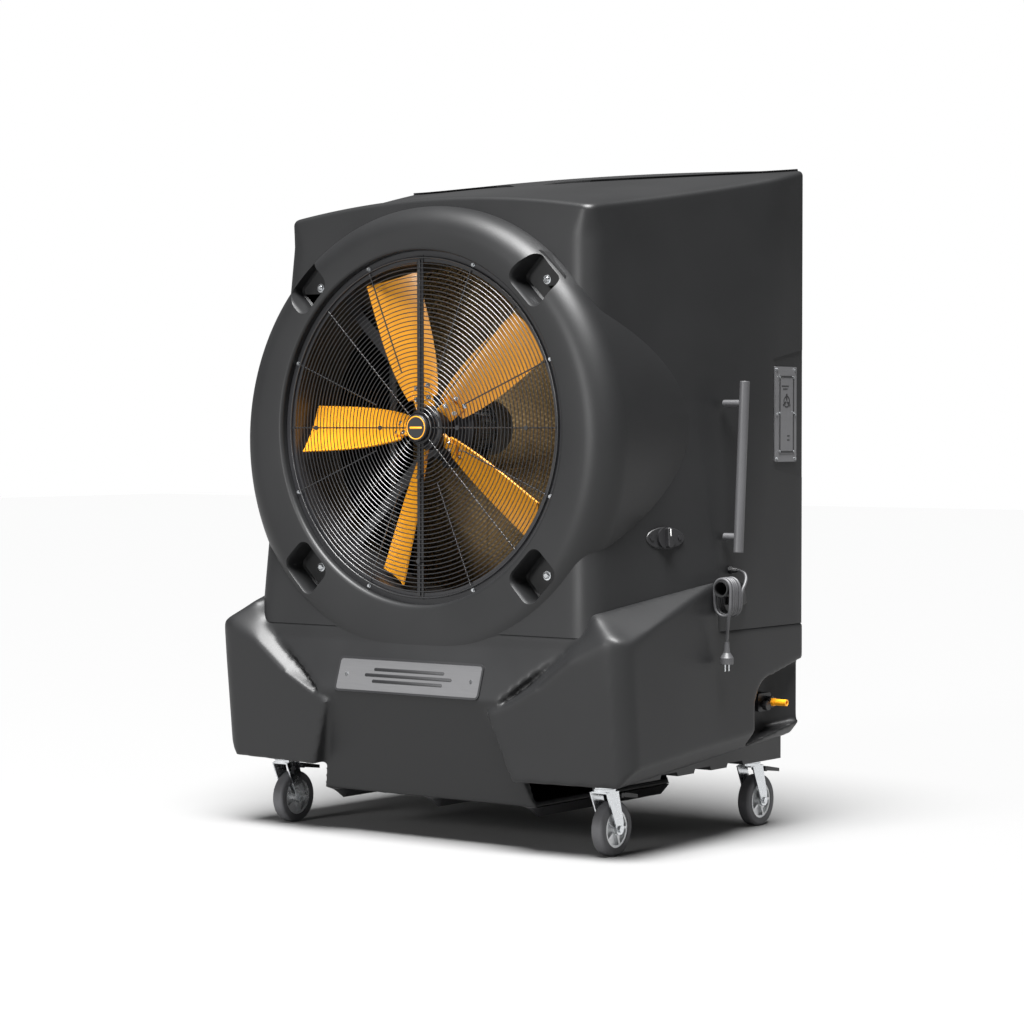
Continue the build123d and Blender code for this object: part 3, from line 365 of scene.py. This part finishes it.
# ---------------------------------------------------------------------------
# Upper housing: the plan outline swept up to the crowned roof
# ---------------------------------------------------------------------------
WALL = 0.006
ROOF_START_Y, ROOF_RUN = -530.0, 1000.0
CROWN_Z, CROWN_RISE = 1788.0, 143.0
EAVES_X, EAVES_Z, EAVES_RISE = 760.0, 1684.0, 228.0
ROOF_ROUND = 15.0
ROOF_CENTRE = Vector((0.0, 60.0))
LEVELS, ROOF_ROUND_STEPS, ROOF_STEPS = 56, 5, 16
FRONT_FOOT_Z, CREASE_FOOT_Z, FLARE_Z = 652.0, 723.0, 898.0
SWEEP_Z, SWEEP_HEIGHT, WALL_TOP_Z = 1313.0, 446.0, 1800.0
SPANS, BENDS = (26, 12, 10, 6, 24), (10, 4, 10, 5)


def roof_z(x, y):
    """Height of the crowned roof, which rises towards the back."""
    back = (y - ROOF_START_Y) / ROOF_RUN
    middle = CROWN_Z + CROWN_RISE * back
    edge = EAVES_Z + EAVES_RISE * back
    return middle - (middle - edge) * (x / EAVES_X) ** 2


def housing_corners(z):
    """Right half of the plan outline, with the rounding distance of each corner.

    The front leans back and narrows. The crease behind it leans in, and sweeps forward near the roof.
    """
    low = min(z, WALL_TOP_Z)
    front_x, front_y = 592 - 0.0539 * (low - FRONT_FOOT_Z), -447.6 + 0.0729 * (z - FRONT_FOOT_Z)
    height = min(max(z, CREASE_FOOT_Z), WALL_TOP_Z)
    rise = max(height - SWEEP_Z, 0.0) / SWEEP_HEIGHT
    crease_x = HALF_W - 0.1186 * (height - CREASE_FOOT_Z) - 51 * rise**2
    crease_y = -8 - 0.0678 * (height - CREASE_FOOT_Z) - 215 * rise**2
    flare_y = 170 + 0.155 * (z - FLARE_Z)
    return [((0.0, front_y), 0.0), ((front_x, front_y), 62.0), ((crease_x, crease_y), 9.0),
            ((HALF_W, flare_y), 70.0), ((HALF_W, REAR_Y), 16.0), ((0.0, REAR_Y), 0.0)]


def rounded_half(corners, spans, bends):
    """Sample the half outline: straight spans joined by smooth bends, with the steps given for each."""
    points = [Vector(c[0]) for c in corners]
    ends = []
    for index, (_, reach) in enumerate(corners):
        if reach == 0.0:
            ends.append((points[index], points[index]))
            continue
        back = points[index - 1] - points[index]
        ahead = points[index + 1] - points[index]
        cut = min(reach, 0.42 * back.length, 0.42 * ahead.length)
        ends.append((points[index] + back.normalized() * cut, points[index] + ahead.normalized() * cut))
    line = []
    for index in range(len(points) - 1):
        start, stop = ends[index][1], ends[index + 1][0]
        for step in range(spans[index]):
            line.append(start.lerp(stop, step / spans[index]))
        if index + 1 < len(points) - 1:
            middle = points[index + 1]
            for step in range(bends[index]):
                t = step / bends[index]
                line.append(ends[index + 1][0] * (1 - t) ** 2 + middle * 2 * t * (1 - t)
                            + ends[index + 1][1] * t**2)
    line.append(points[-1])
    return line


def housing_outline(z):
    """The whole plan outline at a height, with the same number of points at each."""
    half = rounded_half(housing_corners(z), SPANS, BENDS)
    other = [Vector((-p.x, p.y)) for p in reversed(half[1:-1])]
    return half + other


def inset_outline(outline, amount):
    """Move each point of a closed outline inwards."""
    moved = []
    count = len(outline)
    for index, point in enumerate(outline):
        along = outline[(index + 1) % count] - outline[index - 1]
        moved.append(point + Vector((-along.y, along.x)).normalized() * amount)
    return moved


def build_housing():
    """The cabinet walls and roof as one sheet with real thickness."""
    shape = bmesh.new()
    rows = []
    base = housing_outline(SEAM_Z)
    tops = [roof_z(p.x, p.y) for p in base]
    for _ in range(4):
        tops = [roof_z(q.x, q.y) for q in (housing_outline(t)[i] for i, t in enumerate(tops))]
    for level in range(LEVELS + 1):
        row = []
        for index, top in enumerate(tops):
            z = SEAM_Z + (top - ROOF_ROUND - SEAM_Z) * level / LEVELS
            point = housing_outline_at(z, index)
            row.append(shape.verts.new((point.x, point.y, z)))
        rows.append(row)
    rim = [Vector((v.co.x, v.co.y)) for v in rows[-1]]
    for step in range(1, ROOF_ROUND_STEPS + 1):
        angle = math.pi / 2 * step / ROOF_ROUND_STEPS
        inner = inset_outline(rim, ROOF_ROUND * (1 - math.cos(angle)))
        drop = ROOF_ROUND * (1 - math.sin(angle))
        rows.append([shape.verts.new((p.x, p.y, roof_z(p.x, p.y) - drop)) for p in inner])
    edge = [Vector((v.co.x, v.co.y)) for v in rows[-1]]
    for step in range(1, ROOF_STEPS):
        share = 1 - step / ROOF_STEPS
        flat = [ROOF_CENTRE + (p - ROOF_CENTRE) * share for p in edge]
        rows.append([shape.verts.new((p.x, p.y, roof_z(p.x, p.y))) for p in flat])
    grid_faces(shape, rows)
    shape.faces.new(rows[-1])
    bmesh.ops.recalc_face_normals(shape, faces=shape.faces)
    return shape


OUTLINES = {}


def housing_outline_at(z, index):
    """One point of the plan outline at height z, kept for reuse."""
    key = round(z, 2)
    if key not in OUTLINES:
        OUTLINES[key] = housing_outline(z)
    return OUTLINES[key][index]


housing = from_bmesh("housing_shell", build_housing())
solid = housing.modifiers.new("wall", "SOLIDIFY")
solid.thickness = WALL
solid.offset = -1.0
apply_modifiers(housing)


def cut(piece, cutter_shape):
    """Take a closed shape away from a piece."""
    bmesh.ops.recalc_face_normals(cutter_shape, faces=cutter_shape.faces)
    cutter = from_bmesh("cutter", cutter_shape)
    bool_cut = piece.modifiers.new("cut", "BOOLEAN")
    bool_cut.operation = "DIFFERENCE"
    bool_cut.solver = "EXACT"
    bool_cut.object = cutter
    apply_modifiers(piece)
    bpy.data.objects.remove(cutter)


def rounded_rectangle(width, height, corner, steps=6):
    """Outline points of a rectangle with round corners, about its middle."""
    points = []
    for quarter, (sx, sy) in enumerate(((1, 1), (-1, 1), (-1, -1), (1, -1))):
        for step in range(steps + 1):
            angle = math.pi / 2 * (quarter + step / steps)
            points.append(Vector((sx * (width / 2 - corner) + corner * math.cos(angle),
                                  sy * (height / 2 - corner) + corner * math.sin(angle))))
    return points


def stacked(shape, outlines, place):
    """Close a stack of equal outlines into a solid; place turns (u, v, depth) into a position."""
    rows = []
    for outline, depth in outlines:
        rows.append([shape.verts.new(place(p.x, p.y, depth)) for p in outline])
    grid_faces(shape, rows)
    shape.faces.new(rows[0])
    shape.faces.new(rows[-1])


def block(outline, near, far, place):
    """A straight-sided solid between two depths."""
    shape = bmesh.new()
    stacked(shape, [(outline, near), (outline, far)], place)
    return shape


POCKET_ANGLES = (45, 135, 225, 315)
POCKET_R, POCKET_FLOOR_Y = 571.0, -382
POCKET_WIDTH, POCKET_LENGTH, POCKET_CORNER = 104, 124, 24


def pocket_place(angle):
    """Turn a pocket's own u (away from the fan axis), v (across) and depth into a position."""
    turn = math.radians(angle)
    radial = Vector((math.cos(turn), 0, math.sin(turn)))
    across = Vector((-math.sin(turn), 0, math.cos(turn)))
    centre = Vector((0, 0, FAN_Z)) + radial * POCKET_R
    return lambda u, v, depth: centre + radial * u + across * v + Vector((0, depth, 0))


def in_pockets(sections):
    """A stack at each pocket. A section has its depth, how far it goes past the pocket, and its corner."""
    shape = bmesh.new()
    stack = [(rounded_rectangle(POCKET_WIDTH + 2 * past, POCKET_LENGTH + 2 * past, corner), depth)
             for depth, past, corner in sections]
    for angle in POCKET_ANGLES:
        stacked(shape, stack, pocket_place(angle))
    bmesh.ops.recalc_face_normals(shape, faces=shape.faces)
    return shape


def pocket_cutters(grow):
    """Four bolt pockets, wider at their mouths."""
    flare = ((-500, 7), (-456, 6), (-450, 2.5), (-442, 0), (-388, -4), (POCKET_FLOOR_Y, -9))
    return in_pockets([(depth, past + grow, POCKET_CORNER + past + grow) for depth, past in flare])


SHROUD_HOLE_R = 590
REAR_WINDOW, REAR_WINDOW_Z = (1178, 1078, 18), 1200
COVER_RECESS = [Vector(p) for p in ((460, 1018), (276, 1050), (276, 1362), (460, 1394))]

cut(housing, block(circle_points(SHROUD_HOLE_R, 160), -700, -250, lambda u, v, d: (u, d, SHROUD_Z + v)))
cut(housing, pocket_cutters(8.0))
cut(housing, block(rounded_rectangle(*REAR_WINDOW), 380, 500, lambda u, v, d: (u, d, REAR_WINDOW_Z + v)))
cut(housing, block(COVER_RECESS, HALF_W - 4, HALF_W + 20, lambda u, v, d: (d, u, v)))
sharpen(housing, 40)
use(housing, HOUSING)
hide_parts("upper_housing")

# ---------------------------------------------------------------------------
# Domed shroud: rings that slide from the low outer circle to the fan's own circle
# ---------------------------------------------------------------------------
SHROUD_FRONT_Y, SHROUD_REAR_Y = -456.0, -66.0
ROUND_OUT, DISH, LIP = 85.0, 3.0, 11.0
FACE_R, LIP_R, MOUTH_R = 577, 507, 496
ROUND_STEPS, LIP_STEPS = 14, 7


def dome_rings():
    """Radius, depth and centre height of each circle of the shroud's skin, from its outside to its back."""
    rings = [(SHROUD_R, SHROUD_REAR_Y, 0.0), (SHROUD_R, -220.0, 0.0)]
    for step in range(ROUND_STEPS + 1):
        angle = math.pi / 2 * step / ROUND_STEPS
        rings.append((SHROUD_R - ROUND_OUT * (1 - math.cos(angle)),
                      SHROUD_FRONT_Y + ROUND_OUT * (1 - math.sin(angle)), 0.28 * step / ROUND_STEPS))
    for share in (0.2, 0.4, 0.6, 0.8):
        rings.append((FACE_R + (LIP_R - FACE_R) * share, SHROUD_FRONT_Y + DISH * share**2,
                      0.28 + 0.62 * share))
    for step in range(LIP_STEPS + 1):
        angle = math.pi / 2 * step / LIP_STEPS
        rings.append((MOUTH_R + LIP * (1 - math.sin(angle)),
                      SHROUD_FRONT_Y + DISH + LIP * (1 - math.cos(angle)), 0.94 + 0.06 * step / LIP_STEPS))
    rings += [(MOUTH_R - 0.2, -424.0, 1.0), (520.0, -350.0, 1.0), (640.0, -350.0, 0.0),
              (650.0, SHROUD_REAR_Y, 0.0)]
    return [(radius, y, SHROUD_Z + (FAN_Z - SHROUD_Z) * shift) for radius, y, shift in rings]


shroud = from_bmesh("fan_shroud", rings_y(dome_rings(), 240))
cut(shroud, pocket_cutters(0.0))
sharpen(shroud, 32)
use(shroud, HOUSING)

# Shallow cups behind the pockets: a rim round each pocket and a floor just proud of the pocket's own
cups = from_bmesh("pocket_cups", in_pockets([(-374, 7, 26), (-410, 7, 26), (-410, -1, 21), (-386, -2, 20),
                                             (-381, -6, 18)]))
sharpen(cups, 32)
use(cups, HOUSING)

# ---------------------------------------------------------------------------
# Tank: the moulding's outer skin, remeshed and relaxed so that its edges are soft
# ---------------------------------------------------------------------------
TANK_VOXEL = 0.007
SHOULDER_FRONT = [Vector(p) for p in ((HALF_W, 597.5), (610, 664.8), (570, 664.8), (570, 604),
                                      (HALF_W, 594))]
SHOULDER_BACK = [Vector(p) for p in ((HALF_W, 649), (719, 742), (679, 742), (679, 604), (HALF_W, 594))]
STUB = ((588.0, 2.5), (602.0, 2.5), (614.0, 14.0), (650.0, 14.0))
SHOULDER_PEAK, PEAK_REACH = Vector((0.655, -0.455, 0.610)), 0.13


def build_tank():
    """The CAD tank with a stub up inside the housing, a wedge in each shoulder and a plug in the drain."""
    shape = bmesh.new()
    low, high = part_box("drain_plug")
    drain = ((low + high) / 2).to_2d() / MM
    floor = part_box("water_tank")[0].z / MM
    stub = [(inset_outline(housing_outline(z), inset), z) for z, inset in STUB]
    stacked(shape, stub, lambda u, v, d: (u, v, d))
    for side in (1, -1):
        stacked(shape, [(SHOULDER_FRONT, -430), (SHOULDER_BACK, -8)], lambda u, v, d: (side * u, d, v))
    plug = rounded_rectangle(44, 44, 20)
    stacked(shape, [(plug, floor + 1), (plug, floor + 7)], lambda u, v, d: (drain.x + u, drain.y + v, d))
    bmesh.ops.recalc_face_normals(shape, faces=shape.faces)
    bmesh.ops.scale(shape, vec=(MM, MM, MM), verts=shape.verts)
    shape.from_mesh(nodes["water_tank"].data)
    bmesh.ops.scale(shape, vec=(1 / MM, 1 / MM, 1 / MM), verts=shape.verts)
    return shape


tank = from_bmesh("tank_shell", build_tank())
remesh = tank.modifiers.new("remesh", "REMESH")
remesh.mode = "VOXEL"
remesh.voxel_size = TANK_VOXEL
remesh.use_smooth_shade = True
apply_modifiers(tank)


def trim_hidden(piece):
    """Drop loose islands, and open the top of the stub, which the housing hides."""
    shape = bmesh.new()
    shape.from_mesh(piece.data)
    shape.verts.ensure_lookup_table()
    lowest = min(shape.verts, key=lambda v: v.co.z)
    skin, waiting = {lowest}, [lowest]
    while waiting:
        for edge in waiting.pop().link_edges:
            for vert in edge.verts:
                if vert not in skin:
                    skin.add(vert)
                    waiting.append(vert)
    bmesh.ops.delete(shape, geom=[v for v in shape.verts if v not in skin], context="VERTS")
    centres = {face: face.calc_center_median() for face in shape.faces}
    covered = [face for face, centre in centres.items()
               if centre.z > 0.640 and abs(centre.x) < 0.56 and face.normal.z > 0.9]
    bmesh.ops.delete(shape, geom=covered, context="FACES")
    shape.to_mesh(piece.data)
    shape.free()


def soften(piece, near, iterations):
    """Relax a piece; near gives each point's share from 0 to 1."""
    group = piece.vertex_groups.new(name="soft")
    for vert in piece.data.vertices:
        group.add([vert.index], near(vert.co), "REPLACE")
    relax = piece.modifiers.new("relax", "SMOOTH")
    relax.factor = 0.5
    relax.iterations = iterations
    relax.vertex_group = "soft"
    apply_modifiers(piece)
    piece.vertex_groups.clear()


def shoulder_peak(at):
    """Strong where the arm turns into the shoulder, fading out over PEAK_REACH metres."""
    return max(0.0, 1.0 - (Vector((abs(at.x), at.y, at.z)) - SHOULDER_PEAK).length / PEAK_REACH)


trim_hidden(tank)
soften(tank, lambda at: 1.0, 7)
soften(tank, shoulder_peak, 70)
use(tank, HOUSING)
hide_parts("water_tank")


# ---------------------------------------------------------------------------
# Small details
# ---------------------------------------------------------------------------
def add_bolt(shape, at, normal, radius, height):
    """A bolt head on a washer flange, standing on a surface."""
    turn = Vector(normal).normalized().to_track_quat("Z", "Y").to_matrix()
    rows = []
    for share, lift in ((1.45, 0.0), (1.45, 0.22), (1.0, 0.25), (1.0, 0.8), (0.72, 1.0), (0.3, 1.0)):
        row = []
        for step in range(12):
            angle = math.tau * step / 12
            flat = 0.93 if share == 1.0 and step % 2 else 1.0
            offset = Vector((radius * share * flat * math.cos(angle),
                             radius * share * flat * math.sin(angle), height * lift))
            row.append(shape.verts.new(Vector(at) + turn @ offset))
        rows.append(row)
    grid_faces(shape, rows)
    shape.faces.new(rows[0])
    shape.faces.new(rows[-1])


def flat_bar(shape, outline, place, height):
    """A thin raised shape with a slightly smaller face."""
    inner = inset_outline(outline, min(0.6, height))
    stacked(shape, [(outline, 0.0), (outline, height * 0.6), (inner, height)], place)


def ring_frame(shape, outline, width, place, height):
    """A raised rim that follows an outline inwards by its width."""
    inside = inset_outline(outline, width)
    rows = []
    for line, depth in ((outline, 0.0), (outline, height), (inside, height), (inside, 0.0)):
        rows.append([shape.verts.new(place(p.x, p.y, depth)) for p in line])
    grid_faces(shape, rows + [rows[0]])


def shifted(outline, u, v):
    """The outline moved along both its axes."""
    return [p + Vector((u, v)) for p in outline]


def marks(name, build, material, body="cabinet"):
    """Make one piece from a function that adds shapes to a bmesh."""
    shape = bmesh.new()
    build(shape)
    bmesh.ops.recalc_face_normals(shape, faces=shape.faces)
    piece = from_bmesh(name, shape, body)
    sharpen(piece, 35)
    use(piece, material)
    return piece


IN_FRONT_Y = -470


def surface_hit(node, x, z):
    """Where a line along +Y first meets a node, with the normal that faces the front."""
    start = Vector((x, IN_FRONT_Y, z)) * MM
    found, at, normal, _ = nodes[node].ray_cast(start, Vector((0, 1, 0)))
    if not found:
        return None, None
    return at / MM, normal if normal.y < 0 else -normal


def turned(outline, degrees):
    """The outline turned about its origin."""
    angle = math.radians(degrees)
    return [Vector((p.x * math.cos(angle) - p.y * math.sin(angle),
                    p.x * math.sin(angle) + p.y * math.cos(angle))) for p in outline]


BLADE_COUNT, BLADE_START = 5, 36.4


def blade_bolts(shape):
    """Four bolts at each blade's root."""
    for blade in range(BLADE_COUNT):
        for radius, spread in ((88, -14), (88, 12), (122, -14), (122, 12)):
            angle = math.radians(BLADE_START + 360 / BLADE_COUNT * blade) + spread / radius
            at, normal = surface_hit("fan_blades", radius * math.cos(angle),
                                     FAN_Z + radius * math.sin(angle))
            if at is not None:
                add_bolt(shape, at, normal, 5.0, 5.0)


def pocket_bolts(shape):
    """One bolt in the middle of each pocket's floor."""
    for angle in POCKET_ANGLES:
        add_bolt(shape, pocket_place(angle)(0, 0, POCKET_FLOOR_Y), (0, -1, 0), 9.0, 8.0)


marks("blade_bolts", blade_bolts, ZINC, "fan_rotor")
marks("pocket_bolts", pocket_bolts, ZINC)

badge_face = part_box("guard_badge")[0].y / MM
BADGE_RING = ((29.6, 0.6), (30.2, -0.7), (32.6, -0.7), (33.2, 0.6))
badge_ring = from_bmesh("badge_ring", rings_y([(radius, badge_face + lift, FAN_Z)
                                               for radius, lift in BADGE_RING], 96))
use(badge_ring, ORANGE)


def badge_bar(shape):
    """A plain bar in place of the badge's lettering."""
    flat_bar(shape, rounded_rectangle(44, 6, 2.9), lambda u, v, d: (u, badge_face - d, FAN_Z + v), 0.8)


marks("badge_bar", badge_bar, ORANGE)

# Nameplate: a black rim painted as the shadow gap round the plate, and plain bars in place of lettering
PLATE_TILT = math.atan2(46, 144)
PLATE_UP = Vector((0, math.sin(PLATE_TILT), math.cos(PLATE_TILT)))
PLATE_OUT = Vector((0, -math.cos(PLATE_TILT), math.sin(PLATE_TILT)))
plate_low, plate_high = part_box("nameplate")
PLATE_MIDDLE = (plate_low + plate_high) / 2 / MM
PLATE_THICKNESS = 2.5


def on_plate(u, v, d):
    """A point on the tilted nameplate's face, lifted by d."""
    return PLATE_MIDDLE + Vector((u, 0, 0)) + PLATE_UP * v + PLATE_OUT * (d + PLATE_THICKNESS / 2)


def plate_shadow_rim(shape):
    """A thin black rim that stands round the plate, painted shade for the shadow gap in its recess."""
    ring_frame(shape, rounded_rectangle(515, 102, 15), 6.0,
               lambda u, v, d: on_plate(u, v, d - PLATE_THICKNESS), 3.4)


def plate_bars(shape):
    """Three plain bars in place of lettering."""
    for row, (width, height, v) in enumerate(((250, 9, 17), (310, 9, 0), (250, 9, -17))):
        flat_bar(shape, rounded_rectangle(width, height, 4.2), lambda u, w, d: on_plate(u, w + v, d), 0.8)


# Painted shade: the black rim stands in for the dark shadow gap round the plate.
marks("nameplate_shadow_rim", plate_shadow_rim, BLACK)
marks("nameplate_bars", plate_bars, BLACK)

# Side cover: a black border line, a plain fan sign and short bars in place of lettering
label_low, label_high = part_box("cover_label")
LABEL_X = label_high.x / MM
LABEL_Y, LABEL_Z = (label_low.y + label_high.y) / 2 / MM, (label_low.z + label_high.z) / 2 / MM


def on_label(u, v, d):
    """A point on the cover label's face, lifted by d."""
    return (LABEL_X + d, LABEL_Y + u, LABEL_Z + v)


SIGN_UP = 36


def label_marks(shape):
    """The border line, a three-bladed fan in a ring, and four short bars."""
    ring_frame(shape, rounded_rectangle(80, 220, 5), 5.0, on_label, 0.7)
    ring_frame(shape, shifted(rounded_rectangle(34, 34, 16.9, 8), 0, SIGN_UP), 3.5, on_label, 0.5)
    for turn in (90, 210, 330):
        arm = turned(shifted(rounded_rectangle(20, 8, 3.9), 13, 0), turn)
        flat_bar(shape, shifted(arm, 0, SIGN_UP), on_label, 0.9)
    for v, width in ((80, 40), (72, 26), (-62, 14), (-74, 14)):
        flat_bar(shape, shifted(rounded_rectangle(width, 4, 1.9), -8 if v > 0 else 10, v), on_label, 0.5)


marks("cover_marks", label_marks, BLACK)

# Isolator dial: a pointer on the knob
DIAL_AT = Vector((650.3, -182, 863))
DIAL_OUT = Vector((0.948, -0.317, 0.086)).normalized()
DIAL_X = Vector((0.317, 0.948, 0)).normalized()
DIAL_UP = DIAL_OUT.cross(DIAL_X).normalized()
KNOB_TOP = max((v.co / MM - DIAL_AT).dot(DIAL_OUT) for v in nodes["switch_knob"].data.vertices)


def on_knob(u, v, d):
    """A point on the knob's face, lifted by d."""
    return DIAL_AT + DIAL_X * u + DIAL_UP * v + DIAL_OUT * (KNOB_TOP + d)


def dial_pointer(shape):
    """The white line on the knob."""
    flat_bar(shape, shifted(rounded_rectangle(3, 20, 1.4), 0, 14), on_knob, 0.5)


marks("dial_pointer", dial_pointer, MARK, "isolator_knob")

# ---------------------------------------------------------------------------
# Floor, light and the ending
# ---------------------------------------------------------------------------
floor_mesh = bpy.data.meshes.new("floor")
FAR = 30
floor_mesh.from_pydata([(-FAR, -FAR, 0), (FAR, -FAR, 0), (FAR, FAR, 0), (-FAR, FAR, 0)], [], [(0, 1, 2, 3)])
floor = bpy.data.objects.new("floor", floor_mesh)
bpy.context.scene.collection.objects.link(floor)
floor_material = bpy.data.materials.new("pale_floor")
floor_material.use_nodes = True
floor_shader = floor_material.node_tree.nodes["Principled BSDF"]
floor_shader.inputs["Base Color"].default_value = (0.2, 0.2, 0.2, 1)
floor_shader.inputs["Roughness"].default_value = 0.9
floor_mesh.materials.append(floor_material)

# A white background for the camera, and a dimmer one for the light it sheds
WORLD_LIGHT, WORLD_SEEN = 0.13, 1.0
world = bpy.data.worlds.new("studio")
world.use_nodes = True
sky = world.node_tree
sky.nodes["Background"].inputs["Color"].default_value = (1.0, 1.0, 1.0, 1.0)
seen = sky.nodes.new("ShaderNodeLightPath")
strength = sky.nodes.new("ShaderNodeMapRange")
strength.inputs["To Min"].default_value = WORLD_LIGHT
strength.inputs["To Max"].default_value = WORLD_SEEN
sky.links.new(seen.outputs["Is Camera Ray"], strength.inputs["Value"])
sky.links.new(strength.outputs["Result"], sky.nodes["Background"].inputs["Strength"])
bpy.context.scene.world = world
bpy.context.scene.view_settings.view_transform = "Standard"


def light(name, kind, energy, towards):
    """A light that shines from the direction of a vector."""
    data = bpy.data.lights.new(name, kind)
    data.energy = energy
    lamp = bpy.data.objects.new(name, data)
    lamp.rotation_euler = towards.to_track_quat("Z", "Y").to_euler()
    bpy.context.scene.collection.objects.link(lamp)
    return lamp


SUN_FROM = Vector((0.16, -0.30, 1.0))
FILL_AT, FILL_AIM = Vector((-1.0, -7.5, 2.4)), Vector((0, 0, 1.1))

light("sky_light", "SUN", 15.0, SUN_FROM).data.angle = math.radians(35)
fill = light("front_fill", "AREA", 260, FILL_AT - FILL_AIM)
fill.location = FILL_AT
fill.data.size = 1.6
